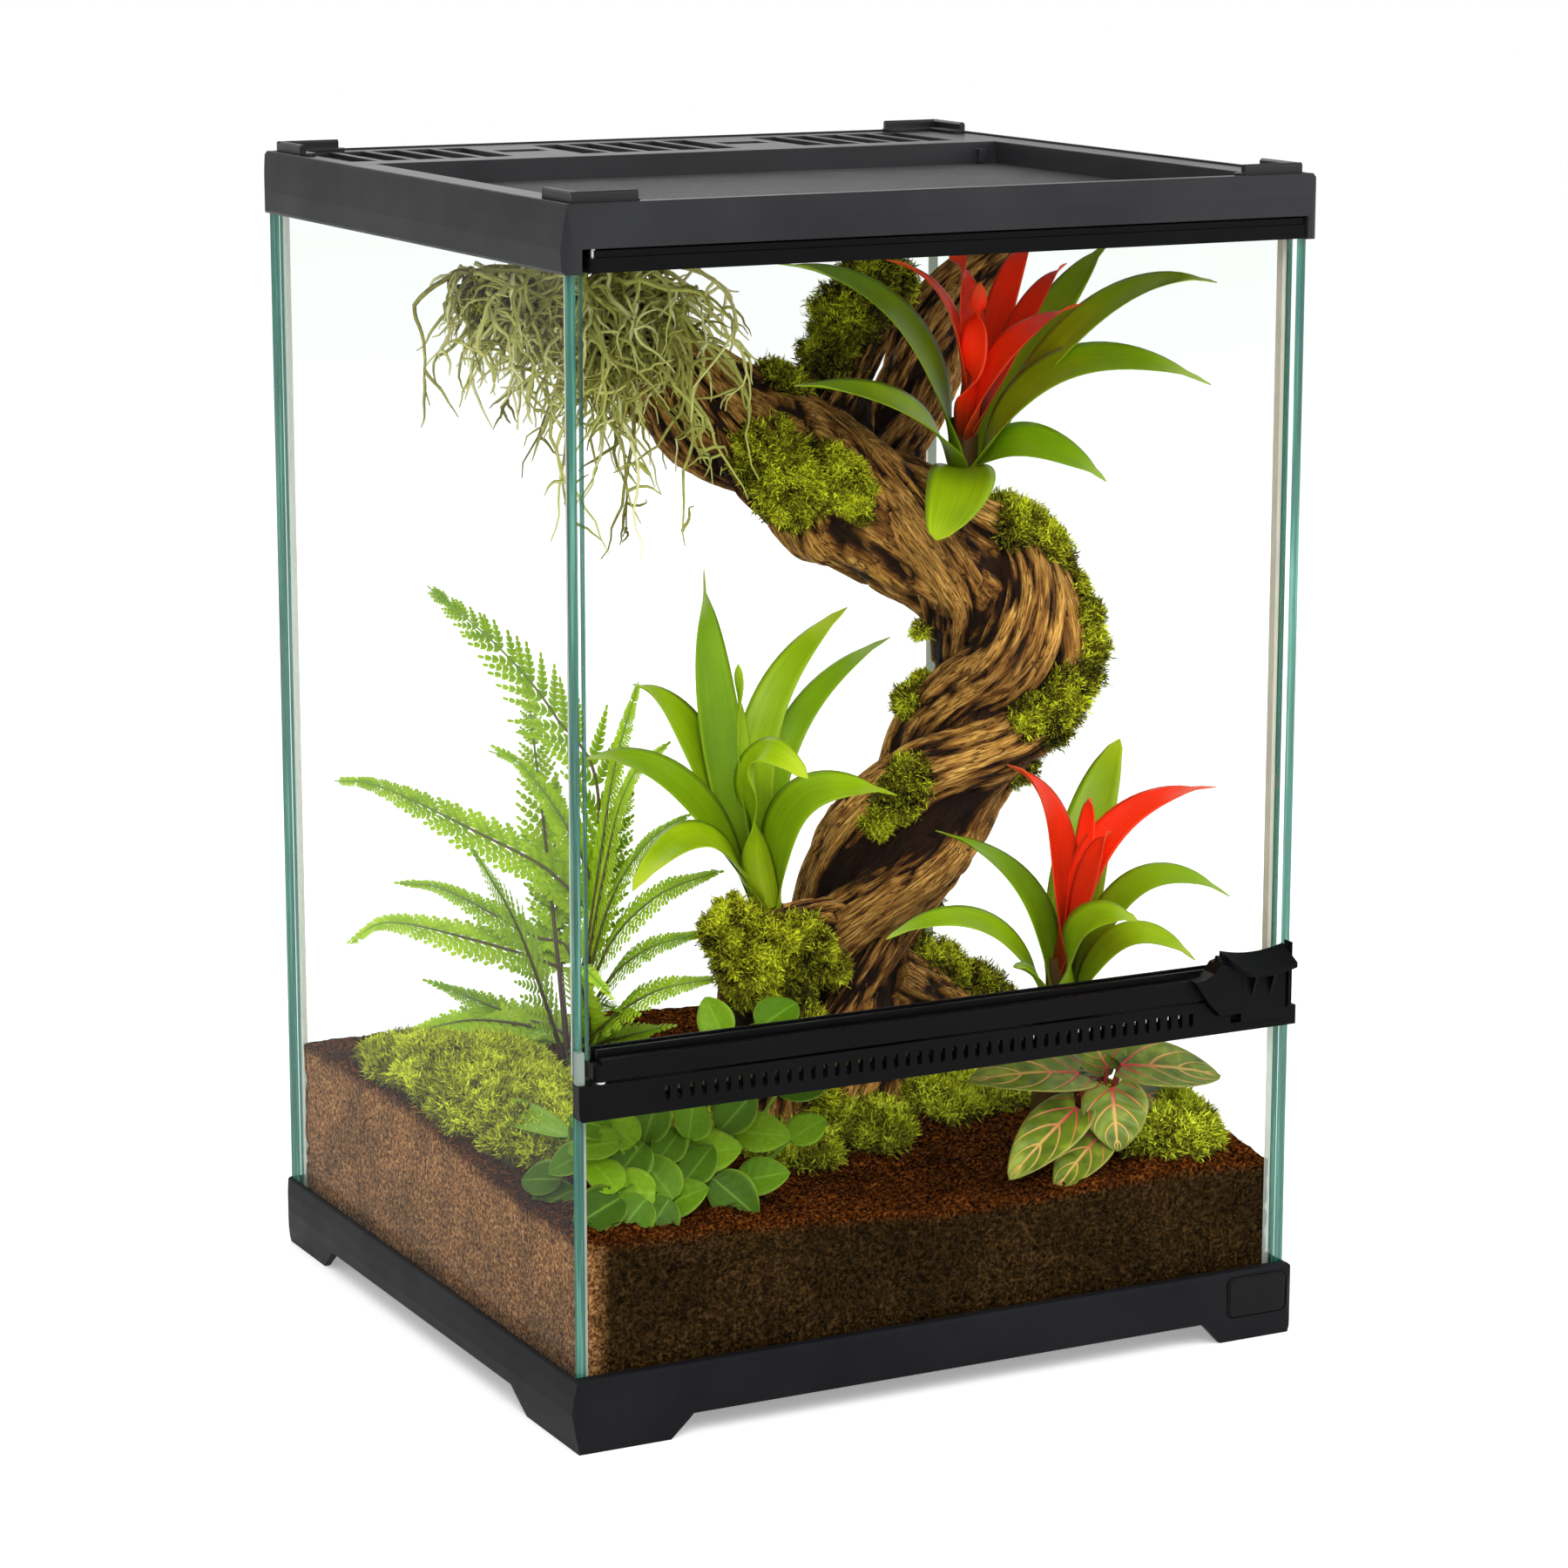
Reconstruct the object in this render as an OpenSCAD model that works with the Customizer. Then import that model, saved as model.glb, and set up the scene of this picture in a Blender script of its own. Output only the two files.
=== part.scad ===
// Front-opening glass terrarium: hinged door with a tilting latch, lift-off screen lid
// with two cable ports, and planted contents.
// Millimetres. +Z is up and the front faces -Y. The origin is under the middle of the whole object.

/* [Tank] */
// Width over the plastic frames
tank_w = 318; // [314:1:322]
// Depth over the plastic frames
tank_d = 300; // [296:1:304]
// Height to the rim of the top frame
tank_h = 465; // [460:1:480]
// Thickness of every pane
glass_t = 4; // [3.5:0.1:4.2]
// Radius of the frames' upright corners
corner_r = 5; // [3:0.5:7]

/* [Base frame] */
// Height of the base frame
base_h = 29; // [27:0.5:32]
// Height of the arches between the feet
arch_h = 9.5; // [6:0.5:11]
// Length of the front and back feet at the left
foot_left = 40; // [30:1:50]
// Length of the front and back feet at the right
foot_right = 34; // [32:1:50]
// Length of the front feet along the sides
foot_front = 50; // [30:1:60]
// Length of the back feet along the sides
foot_back = 41; // [30:1:60]

/* [Vent strip] */
// Height of the strip's lower edge
strip_z = 129; // [120:1:135]
// Number of upright vent slots
slots = 46; // [20:1:46]
// Distance from slot to slot
slot_pitch = 5.07; // [4:0.01:5.07]
// Height of a slot
slot_h = 5.5; // [4:0.1:5.8]

/* [Door] */
// Gap between the vent strip and the door
door_gap = 1.1; // [0.8:0.1:1.5]
// Height of the door's bottom rail
rail_h = 10.9; // [9:0.1:12]
// Distance that the latch stands out from the front face
latch_reach = 10; // [8:0.5:12]

/* [Lid] */
// Depth of the sunken well that holds the screen
well_deep = 9.8; // [6:0.1:10]
// Depth of the rear strip with the windows and cable ports
rear_strip = 80; // [76:1:90]
// Gaps of the screen from left to right
screen_nx = 20; // [8:1:20]
// Gaps of the screen from front to back
screen_ny = 15; // [6:1:15]
// Height of the corner guides over the lid
guide_h = 4.7; // [3:0.1:6]

/* [Hidden] */

$fn = 48;
eps = 0.02;
fit = 0.05;
half_w = tank_w / 2;
half_d = tank_d / 2;

// The latch stands out in front, so the tank sits back by half of that.
tank_shift = latch_reach / 2;

// Panes
pane_x = half_w - 2.5;
pane_in = pane_x - glass_t;
pane_front = 6 - half_d;
pane_back = half_d - 3;
shelf_z = 13;
glass_z = 16;
floor_z = glass_z + glass_t;

// Top frame: lower edge, ledge for the lid, and the seat inside the wall
top_z = tank_h - 25;
ledge_z = top_z + 9;
ledge_t = 3;
seat_x = half_w - 3.8;
seat_y = half_d - 3.8;
notch_left = 0.2 - pane_in;
notch_right = pane_in + 1.1;

// Vent strip
strip_h = 13.6;
strip_top = strip_z + strip_h;
strip_front = 0.4 - half_d;
strip_back = strip_front + 12;
slot_first = -120.5;
slot_w = 2;
slot_mid_z = strip_z + 7.2;
dip_z = strip_z + 7.8;

// Door
rail_z = strip_top + door_gap;
rail_top = rail_z + rail_h;
rail_front = 0.3 - half_d;
rail_back = 11.6 - half_d;
rail_right = pane_in - 0.5;
door_y = 6.5 - half_d;
top_rail_z = top_z + 0.4;
top_rail_top = ledge_z - 0.7;
hinge_x = -147;
hinge_y = 3 - half_d;
hinge_r = 1.2;
knuckle_r = 2.7;

// Latch: axis of its pin, lever between the cheeks of the tower
latch_y = -1.2 - half_d;
latch_z = rail_top + 1.8;
latch_pin_r = 1.1;
barrel_r = 2.3;
tower_z = dip_z + 0.6;
cheek_front = -3.2 - half_d;
cheek_left = 128.5;
cheek_right = 150.4;
plate_left = 120.5;
plate_right = 150;
plate_rear = 1.1 - half_d;
plate_tilt = 27;
plate_t = 1.8;
plate_sag = 2.2;
plate_z = rail_top + 8.6;
tail_y = [latch_y - 1.2, latch_y + 0.4];
hook_z = dip_z - 3.3;

// Lid
lid_z = ledge_z + ledge_t + 0.3;
lid_top = tank_h - 0.7;
lid_x = seat_x - 0.5;
lid_y = seat_y - 0.5;
lid_t = 1.8;
well_x = lid_x - 13.7;
well_front = 10.7 - lid_y;
well_back = lid_y - rear_strip + 4.3;
well_floor = lid_top - well_deep;
port_y = 111;
port_left_x = -60;
port_right_x = 42;
port_w = 20;
port_d = 12;

// Ground of the planted contents
soil_x = pane_in - 0.5;
soil_front = pane_front + glass_t + 0.5;
soil_back = pane_back - glass_t - 0.5;

// Every piece is drawn about the middle of the tank and then moved back.
module placed() {
    translate([0, tank_shift, 0]) children();
}

// Block between two corners
module block(x, y, z) {
    translate([x[0], y[0], z[0]]) cube([x[1] - x[0], y[1] - y[0], z[1] - z[0]]);
}

// Rectangle with round corners, centred
module round_rect(w, d, r) {
    square([w - 2 * r, d], center = true);
    square([w, d - 2 * r], center = true);
    for (sx = [-1, 1], sy = [-1, 1]) {
        translate([sx * (w / 2 - r), sy * (d / 2 - r)]) circle(r);
    }
}

// Outline seen along one side, from pairs of inset and height
module side_outline(span, profile) {
    last = len(profile) - 1;
    right = [for (p = profile) [span / 2 - p[0], p[1]]];
    left = [for (i = [last:-1:0]) [profile[i][0] - span / 2, profile[i][1]]];
    polygon(concat(right, left));
}

// Solid body of a frame whose four faces share one profile
module frame_blank(profile, z0, z1) {
    intersection() {
        translate([0, 0, z0]) linear_extrude(z1 - z0) round_rect(tank_w, tank_d, corner_r);
        rotate([90, 0, 0]) linear_extrude(tank_d + 2, center = true) side_outline(tank_w, profile);
        rotate([90, 0, 90]) linear_extrude(tank_w + 2, center = true) side_outline(tank_d, profile);
    }
}

// Profile in Y and Z, extruded along X
module along_x(x0, x1) {
    translate([x0, 0, 0]) rotate([90, 0, 90]) linear_extrude(x1 - x0) children();
}

// Profile in X and Z, extruded along Y
module along_y(y0, y1) {
    translate([0, y1, 0]) rotate([90, 0, 0]) linear_extrude(y1 - y0) children();
}

// Arch below a wall, from the inner end of one foot to the other
module arch_outline(a, b, slope) {
    polygon([[a, -1], [a, 0], [a + slope, arch_h], [b - slope, arch_h], [b, 0], [b, -1]]);
}

module base_frame() {
    wall = 4.2;
    profile = [[1.9, 0], [0.8, 7], [0, 15], [0.4, 22], [1.3, base_h - 1], [2.2, base_h]];
    color("#2d2e30") placed() difference() {
        union() {
            difference() {
                frame_blank(profile, 0, base_h);
                block([wall - half_w, half_w - wall], [wall - half_d, half_d - wall], [-1, shelf_z]);
                block([-pane_x - fit, pane_x + fit], [pane_front - fit, pane_back + fit],
                      [glass_z, base_h + 1]);
                block([24 - half_w, half_w - 24], [25 - half_d, half_d - 25], [-1, glass_z + 1]);
            }
            corner_ribs();
        }
        along_y(-half_d - 1, half_d + 1) arch_outline(foot_left - half_w, half_w - foot_right, 9);
        along_x(-half_w - 1, half_w + 1) arch_outline(foot_front - half_d, half_d - foot_back, 12);
        along_y(-half_d - 1, 1.2 - half_d) badge_outline(0.6);
    }
}

// Upright ribs that stiffen the hollow feet
module corner_ribs() {
    reach = 26;
    for (sx = [-1, 1], sy = [-1, 1]) {
        translate([sx * (half_w - 4), sy * (half_d - 4), 0]) scale([sx, sy, 1])
            linear_extrude(shelf_z + 1)
            polygon([[0, -reach], [0, 2.8 - reach], [2.8 - reach, 0], [-reach, 0]]);
    }
}

// Outline of the badge, grown by a gap
module badge_outline(gap) {
    badge_w = 27;
    badge_h = 16;
    translate([half_w - 18, 18.6]) round_rect(badge_w + 2 * gap, badge_h + 2 * gap, 3 + gap);
}

module badge_plate() {
    color("#18191a") placed() {
        along_y(0.3 - half_d, 1.2 - half_d) badge_outline(0);
        along_y(-0.2 - half_d, 0.4 - half_d) badge_outline(-0.8);
    }
}

module bottom_glass() {
    color("#bfe3d6") placed() block([0.2 - pane_in, pane_in - 0.2],
        [pane_front + glass_t + 0.2, pane_back - glass_t - 0.2], [glass_z, floor_z]);
}

module side_glass(side) {
    x0 = side > 0 ? pane_in : -pane_x;
    color("#bfe3d6") placed() block([x0, x0 + glass_t], [pane_front, pane_back],
        [glass_z, ledge_z - 0.2]);
}

module left_glass() {
    side_glass(-1);
}

module right_glass() {
    side_glass(1);
}

module back_glass() {
    color("#bfe3d6") placed() block([0.2 - pane_in, pane_in - 0.2],
        [pane_back - glass_t, pane_back], [glass_z, ledge_z - 0.2]);
}

module front_lower_glass() {
    color("#bfe3d6") placed() block([0.2 - pane_in, pane_in - 0.2],
        [pane_front, pane_front + glass_t], [glass_z, strip_z + 2.4]);
}

// Triangular bead of sealant
module bead(leg) {
    polygon([[0, 0], [leg, 0], [0, leg]]);
}

module silicone_seams() {
    leg = 3;
    y_front = pane_front + glass_t;
    y_back = pane_back - glass_t;
    color("#e9eee6") placed() {
        for (side = [-1, 1]) {
            translate([side * pane_in, y_front, floor_z]) scale([-side, 1, 1])
                linear_extrude(strip_z - floor_z - 1) bead(leg);
            translate([side * pane_in, y_back, floor_z]) scale([-side, -1, 1])
                linear_extrude(top_z - floor_z - 1) bead(leg);
            translate([side * pane_in, y_front, floor_z]) scale([side, 1, 1])
                rotate([90, 0, 180]) linear_extrude(y_back - y_front) bead(leg);
        }
        along_x(-pane_in, pane_in) translate([y_front, floor_z]) bead(leg);
        along_x(-pane_in, pane_in) translate([y_back, floor_z]) scale([-1, 1]) bead(leg);
    }
}

module door_stop(side) {
    x0 = side > 0 ? pane_in - 2.3 : -pane_in;
    color("#ece9dc") placed() block([x0, x0 + 2.3], [rail_back + 0.5, rail_back + 4.5],
        [strip_top + 0.4, top_z - 0.3]);
}

module door_stop_left() {
    door_stop(-1);
}

module door_stop_right() {
    door_stop(1);
}

module hinge_block() {
    color("#7f9088") placed() block([-pane_x + 0.3, -pane_in - 0.8],
        [pane_front - 3.6, pane_front], [strip_top, strip_top + 12.4]);
}

// Row of upright vent slots with round ends
module slot_row() {
    for (i = [0:slots - 1]) {
        translate([slot_first + i * slot_pitch, slot_mid_z]) {
            square([slot_w, slot_h - slot_w], center = true);
            translate([0, (slot_h - slot_w) / 2]) circle(slot_w / 2, $fn = 16);
            translate([0, (slot_w - slot_h) / 2]) circle(slot_w / 2, $fn = 16);
        }
    }
}

module vent_strip() {
    wall = 2.2;
    x_end = slot_first + slots * slot_pitch;
    pane_gap = 0.1;
    color("#161719") placed() difference() {
        along_y(strip_front, strip_back) polygon([
            [0.4 - pane_x, strip_z + 1], [1.4 - pane_x, strip_z], [pane_x, strip_z], [pane_x, strip_top],
            [-pane_x, strip_top], [-pane_x, strip_z + 4]
        ]);
        for (side = [-1, 1]) {
            translate([side * (pane_in + 5 - pane_gap), 0, 0])
                block([-5, 5], [pane_front - pane_gap, strip_back + 1], [strip_z - 1, strip_top + 1]);
        }
        block([-half_w, half_w], [pane_front - pane_gap, pane_front + glass_t + pane_gap],
              [strip_z - 1, strip_z + 2.6]);
        block([slot_first - 2.5, x_end], [strip_front + wall, strip_back - 2.2],
              [strip_z + 4, strip_top - 2.4]);
        block([slot_first - 1.5, x_end - 1], [strip_back - 3, strip_back + 1],
              [strip_z + 5, strip_top - 3.4]);
        along_y(strip_front - 1, strip_front + wall + 1) slot_row();
        along_y(strip_front - 1, pane_front - 0.6) polygon([
            [113, strip_top + 1], [113.5, strip_top], [119, dip_z], [pane_x + 1, dip_z],
            [pane_x + 1, strip_top + 1]
        ]);
        block([126, 147], [strip_front - 1, strip_front + 3], [dip_z - 4, dip_z - 1]);
        translate([hinge_x, hinge_y, strip_z + 5]) cylinder(r = hinge_r, h = strip_h);
    }
}

module vent_mesh() {
    x0 = slot_first - 2.2;
    x1 = slot_first + slots * slot_pitch - 0.3;
    cell = (x1 - x0) / slots;
    color("#3c3e40") placed() along_y(strip_back - 2.8, strip_back - 2.3) difference() {
        translate([x0, strip_z + 4.2]) square([x1 - x0, 6.8]);
        for (i = [0:slots - 1], j = [0, 1]) {
            translate([x0 + (i + 0.5) * cell, strip_z + 6 + j * 3.2]) square([cell - 1, 2.4], center = true);
        }
    }
}

module top_frame() {
    skirt = 2.5;
    profile = [[0.9, top_z], [0.2, top_z + 1], [0, ledge_z], [0.6, ledge_z + 8],
               [1.4, tank_h - 1.5], [2.2, tank_h]];
    color("#303133") placed() difference() {
        frame_blank(profile, top_z, tank_h);
        block([-seat_x, seat_x], [-seat_y, seat_y], [ledge_z + ledge_t, tank_h + 1]);
        block([10 - pane_in, pane_in - 10], [9 - seat_y, seat_y - 9], [top_z - 1, tank_h]);
        for (side = [-1, 1]) {
            translate([side * (pane_x + pane_in) / 2, 0, 0])
                block([-glass_t / 2 - 0.1, glass_t / 2 + 0.1], [pane_front - 0.1, pane_back + 0.1],
                      [top_z - 1, ledge_z]);
        }
        block([-pane_x, pane_x], [pane_back - glass_t - 0.1, pane_back + 0.1], [top_z - 1, ledge_z]);
        block([skirt - pane_in, pane_in - skirt], [rail_back + 3, pane_back - glass_t - skirt],
              [top_z - 1, ledge_z]);
        block([notch_left, notch_right], [-half_d - 1, rail_back + 0.8], [top_z - 1, ledge_z]);
        translate([hinge_x, hinge_y, top_z]) cylinder(r = hinge_r, h = 11.2);
    }
}

// Window openings of the lid's rear strip, from the left
module window_cells(inset) {
    pitch = 14.8;
    for (start = [-146, -44, 58], i = [0:4]) {
        translate([start + i * pitch + inset, 84 + inset]) square([pitch - 3 - 2 * inset, 52 - 2 * inset]);
    }
}

module lid_frame() {
    step_x = well_x - lid_t;
    floor_t = 1.6;
    color("#6c6e70") placed() {
        difference() {
            block([-lid_x, lid_x], [-lid_y, lid_y], [lid_z, lid_top]);
            difference() {
                block([lid_t - lid_x, lid_x - lid_t], [lid_t - lid_y, lid_y - lid_t],
                      [lid_z - 1, lid_top - lid_t]);
                block([-well_x - lid_t, well_x + lid_t], [well_front - lid_t, well_back + lid_t],
                      [well_floor - floor_t, lid_top]);
            }
            block([-well_x, well_x], [well_front, well_back], [well_floor, lid_top + 1]);
            block([-step_x, step_x], [well_front + 3, well_back - 3], [lid_z - 1, lid_top]);
            translate([0, 0, lid_top - 3]) linear_extrude(5) window_cells(0);
            for (x = [port_left_x, port_right_x]) {
                block([x - port_w / 2, x + port_w / 2], [port_y - port_d / 2, port_y + port_d / 2],
                      [lid_top - 3, lid_top + 1]);
            }
        }
        for (x = [port_left_x, port_right_x], side = [-1, 1]) {
            translate([x, 0, 0]) scale([side, 1, 1]) slider_rail();
        }
        block([well_x - 9, well_x - 6], [well_back - 2.5, well_back + eps], [well_floor + 1, lid_top - 3]);
    }
}

// L-shaped rail that guides one edge of a cable slider
module slider_rail() {
    y = [84, 122];
    block([12.4, 14.2], y, [lid_top - 6, lid_top - lid_t + eps]);
    block([10.8, 12.5], y, [lid_top - 6, lid_top - 5.2]);
}

// Flat net: a sheet with rows of square-cornered gaps
module net(x0, y0, w, d, nx, ny, bar) {
    cw = (w - bar) / nx;
    cd = (d - bar) / ny;
    difference() {
        translate([x0, y0]) square([w, d]);
        for (i = [0:nx - 1], j = [0:ny - 1]) {
            translate([x0 + bar + i * cw, y0 + bar + j * cd]) square([cw - bar, cd - bar]);
        }
    }
}

module screen_mesh() {
    color("#2a2b2c") placed() translate([0, 0, well_floor])
        linear_extrude(0.7)
        net(0.3 - well_x, well_front + 0.3, 2 * well_x - 0.6, well_back - well_front - 0.6,
            screen_nx, screen_ny, 1.2);
}

module rear_mesh() {
    color("#4a4b4c") placed() translate([0, 0, lid_top - lid_t - 0.7]) linear_extrude(0.7) {
        for (start = [-147.4, -45.6, 56.4]) {
            net(start, 81, 73, 58, 10, 3, 0.8);
        }
    }
}

module cable_slider(x) {
    plate_w = 24;
    plate_d = 17;
    z0 = lid_top - 4.8;
    z1 = lid_top - lid_t - 0.4;
    color("#55575a") placed() difference() {
        block([x - plate_w / 2, x + plate_w / 2], [port_y - plate_d / 2, port_y + plate_d / 2], [z0, z1]);
        for (side = [-1, 1]) {
            translate([x + side * 5, 0, 0])
                block([-3, 3], [port_y - 4, port_y + 4], [z1 - 1.6, z1 + 1]);
        }
    }
}

module cable_slider_left() {
    cable_slider(port_left_x);
}

module cable_slider_right() {
    cable_slider(port_right_x);
}

// L-shaped guide with its outer corner at the origin and arms towards +X and +Y
module guide_shape() {
    arm = 28;
    foot_w = 7;
    wall = 2.6;
    foot_t = 1.4;
    for (flip = [0, 1]) {
        mirror([flip, -flip, 0]) {
            linear_extrude(foot_t) {
                square([arm - foot_w / 2, foot_w]);
                translate([arm - foot_w / 2, foot_w / 2]) circle(foot_w / 2);
            }
            rotate([90, 0, 90]) linear_extrude(arm - 2)
                polygon([[0, 0], [wall, 0], [wall, guide_h - 0.8], [wall - 0.8, guide_h],
                         [0.8, guide_h], [0, guide_h - 0.8]]);
        }
    }
}

module corner_guide(sx, sy) {
    inset = 1;
    color("#1d1e1f") placed()
        translate([sx * (lid_x - inset), sy * (lid_y - inset), lid_top])
        scale([-sx, -sy, 1]) guide_shape();
}

module corner_guide_fl() {
    corner_guide(-1, -1);
}

module corner_guide_fr() {
    corner_guide(1, -1);
}

module corner_guide_bl() {
    corner_guide(-1, 1);
}

module corner_guide_br() {
    corner_guide(1, 1);
}

module door_glass() {
    color("#bfe3d6") placed() block([3 - pane_in, pane_in - 1.7], [door_y, door_y + glass_t],
        [rail_z + 3.3, top_rail_z + 3.6]);
}

// Round end of a rail about the hinge axis
module knuckle(z0, z1) {
    translate([hinge_x, hinge_y, z0]) cylinder(r = knuckle_r, h = z1 - z0);
    block([hinge_x - knuckle_r, hinge_x + eps], [hinge_y, rail_back], [z0, z1]);
}

module door_top_rail() {
    step = 0.9;
    color("#2b2c2e") placed() difference() {
        union() {
            along_x(hinge_x, rail_right) polygon([
                [rail_front, top_rail_z], [rail_back, top_rail_z], [rail_back, top_rail_top],
                [rail_front + step, top_rail_top], [rail_front + step, top_rail_z + 5.6],
                [rail_front, top_rail_z + 5.2]
            ]);
            knuckle(top_rail_z, top_rail_z + 5.2);
        }
        block([2.9 - pane_in, pane_in - 1.6], [door_y - fit, door_y + glass_t + fit],
              [top_rail_z - 1, top_rail_z + 3.7]);
        translate([hinge_x, hinge_y, top_rail_z - 1]) cylinder(r = hinge_r + fit, h = 10);
    }
}

// Concave slab that tilts down to the front; it runs on upwards by extra
module plate_slab(drop, extra) {
    mid = (plate_left + plate_right) / 2;
    half = (plate_right - plate_left) / 2;
    steps = 12;
    top = [for (i = [0:steps]) let (u = 2 * i / steps - 1)
        [mid + u * half * 1.1, plate_sag * (u * u - 1) + extra]];
    low = [for (i = [steps:-1:0]) let (u = 2 * i / steps - 1)
        [mid + u * half * 1.1, plate_sag * (u * u - 1) - plate_t - drop]];
    translate([0, plate_rear, plate_z]) rotate([plate_tilt, 0, 0])
        rotate([90, 0, 0]) translate([0, 0, -4]) linear_extrude(24) polygon(concat(top, low));
}

// Outline of the finger plate seen from above, with its swept left front corner
module plate_outline() {
    tip = -half_d - latch_reach;
    sweep = 15;
    difference() {
        translate([plate_left, tip]) square([plate_right - plate_left, plate_rear - tip]);
        difference() {
            translate([plate_left - 1, tip - 1]) square([sweep + 1, sweep + 1 - 6]);
            translate([plate_left + sweep, tip + sweep - 3]) circle(sweep - 1);
        }
    }
}

// Left and right ends of the tower rise from the rail in a hollow curve
module tower_outline(x_end, z_end) {
    polygon([
        [107, rail_top - 2.4], [112, rail_top - 1.9], [116, rail_top], [118.5, rail_top + 3.5],
        [120.5, z_end], [x_end, z_end], [x_end, tower_z], [119, tower_z], [113, rail_z]
    ]);
}

module door_bottom_rail() {
    lip = 2.4;
    groove = 2.1;
    color("#17181a") placed() difference() {
        union() {
            along_x(hinge_x, rail_right) polygon([
                [rail_front, rail_z], [rail_back, rail_z], [rail_back, rail_top],
                [rail_front + lip + groove, rail_top], [rail_front + lip + groove, rail_z + 6.3],
                [rail_front + lip, rail_z + 6.3], [rail_front + lip, rail_top - 2.3],
                [rail_front, rail_top - 2.7]
            ]);
            knuckle(rail_z, rail_z + 6.3);
            difference() {
                union() {
                    along_y(2.1 - half_d, 5.1 - half_d) tower_outline(rail_right, rail_top + 4);
                    along_y(cheek_front, 2.2 - half_d) tower_outline(cheek_left, rail_top + 9);
                    block([cheek_right, rail_right], [cheek_front, 2.2 - half_d],
                          [tower_z, rail_top + 9]);
                }
                plate_slab(0.7, 20);
            }
        }
        block([cheek_left, cheek_right], [cheek_front - 1, 2.1 - half_d], [tower_z - 1, rail_top + 12]);
        block([2.9 - pane_in, pane_in - 1.6], [door_y - fit, door_y + glass_t + fit],
              [rail_z + 3.2, rail_top + 1]);
        translate([hinge_x, hinge_y, rail_z - 1]) cylinder(r = hinge_r + fit, h = 6.2);
        translate([cheek_left - 3, latch_y, latch_z]) rotate([0, 90, 0])
            cylinder(r = latch_pin_r + 0.01, h = 40);
    }
}

module hinge_pin_top() {
    color("silver") placed() translate([hinge_x, hinge_y, top_rail_z + 1.4])
        cylinder(r = hinge_r, h = ledge_z + ledge_t - top_rail_z - 2.3);
}

module hinge_pin_bottom() {
    color("silver") placed() translate([hinge_x, hinge_y, strip_z + 5])
        cylinder(r = hinge_r, h = rail_z - strip_z - 0.2);
}

module hinge_washer() {
    color("silver") placed() translate([hinge_x, hinge_y, strip_top]) difference() {
        cylinder(r = 2.5, h = door_gap - 0.35);
        translate([0, 0, -1]) cylinder(r = hinge_r + 0.02, h = 3);
    }
}

module latch_lever() {
    x0 = cheek_left + 0.6;
    x1 = cheek_right - 0.6;
    x_mid = x1 - 5.2;
    color("#1b1c1e") placed() difference() {
        union() {
            intersection() {
                plate_slab(0, 0);
                translate([0, 0, rail_z]) linear_extrude(40) plate_outline();
            }
            translate([x0, latch_y, latch_z]) rotate([0, 90, 0]) cylinder(r = barrel_r, h = x_mid - x0);
            block([x0, x_mid], [latch_y - 0.6, latch_y + 1.2], [latch_z, latch_z + 2.6]);
            block([x0, x1], tail_y, [hook_z, latch_z - 3]);
            block([x0, x_mid], tail_y, [hook_z, latch_z]);
            for (x = [133.5, 142]) {
                along_x(x, x + 1.2) polygon([
                    [tail_y[0] + 0.3, latch_z - 14], [tail_y[0] + 0.3, latch_z + 1],
                    [latch_y - 6, latch_z - 0.6]
                ]);
            }
        }
        translate([x0 - 1, latch_y, latch_z]) rotate([0, 90, 0])
            cylinder(r = latch_pin_r + fit, h = 30);
    }
}

// Foot of the lever's tail, which reaches into the slot of the vent strip
module latch_hook() {
    color("#1b1c1e") placed() block([131, 143.5], [tail_y[1], strip_front + 1.5], [hook_z, hook_z + 1.5]);
}

module latch_pin() {
    color("silver") placed() translate([cheek_left - 2.9, latch_y, latch_z]) rotate([0, 90, 0])
        cylinder(r = latch_pin_r, h = rail_right - cheek_left + 2.8);
}

// Tube with square rings along a list of points
module wire(path, r, sides) {
    last = len(path) - 1;
    rings = [for (i = [0:last]) wire_ring(path, i, last, r, sides)];
    polyhedron(points = [for (ring = rings) each ring], faces = tube_faces(last, sides));
}

function unit(v) = v / norm(v);
function wire_dir(path, i, last) = unit(path[min(i + 1, last)] - path[max(i - 1, 0)]);
function wire_side(d) = unit(cross(d, abs(d[0]) > 0.9 ? [0, 0, 1] : [1, 0, 0]));
function wire_ring(path, i, last, r, sides) =
    let (d = wire_dir(path, i, last), s = wire_side(d), n = cross(d, s))
    [for (k = [0:sides - 1]) let (a = 360 * k / sides) path[i] + r * (cos(a) * s + sin(a) * n)];

// Triangles round and at both ends of a tube of rings
function tube_faces(last, sides) = concat(
    [for (i = [0:last - 1], k = [0:sides - 1]) let (a = i * sides + k, b = i * sides + (k + 1) % sides)
        [a, b + sides, b]],
    [for (i = [0:last - 1], k = [0:sides - 1]) let (a = i * sides + k, b = i * sides + (k + 1) % sides)
        [a, a + sides, b + sides]],
    [for (k = [1:sides - 2]) [0, k, k + 1]],
    [for (k = [1:sides - 2]) let (o = last * sides) [o, o + k + 1, o + k]]
);

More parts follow.
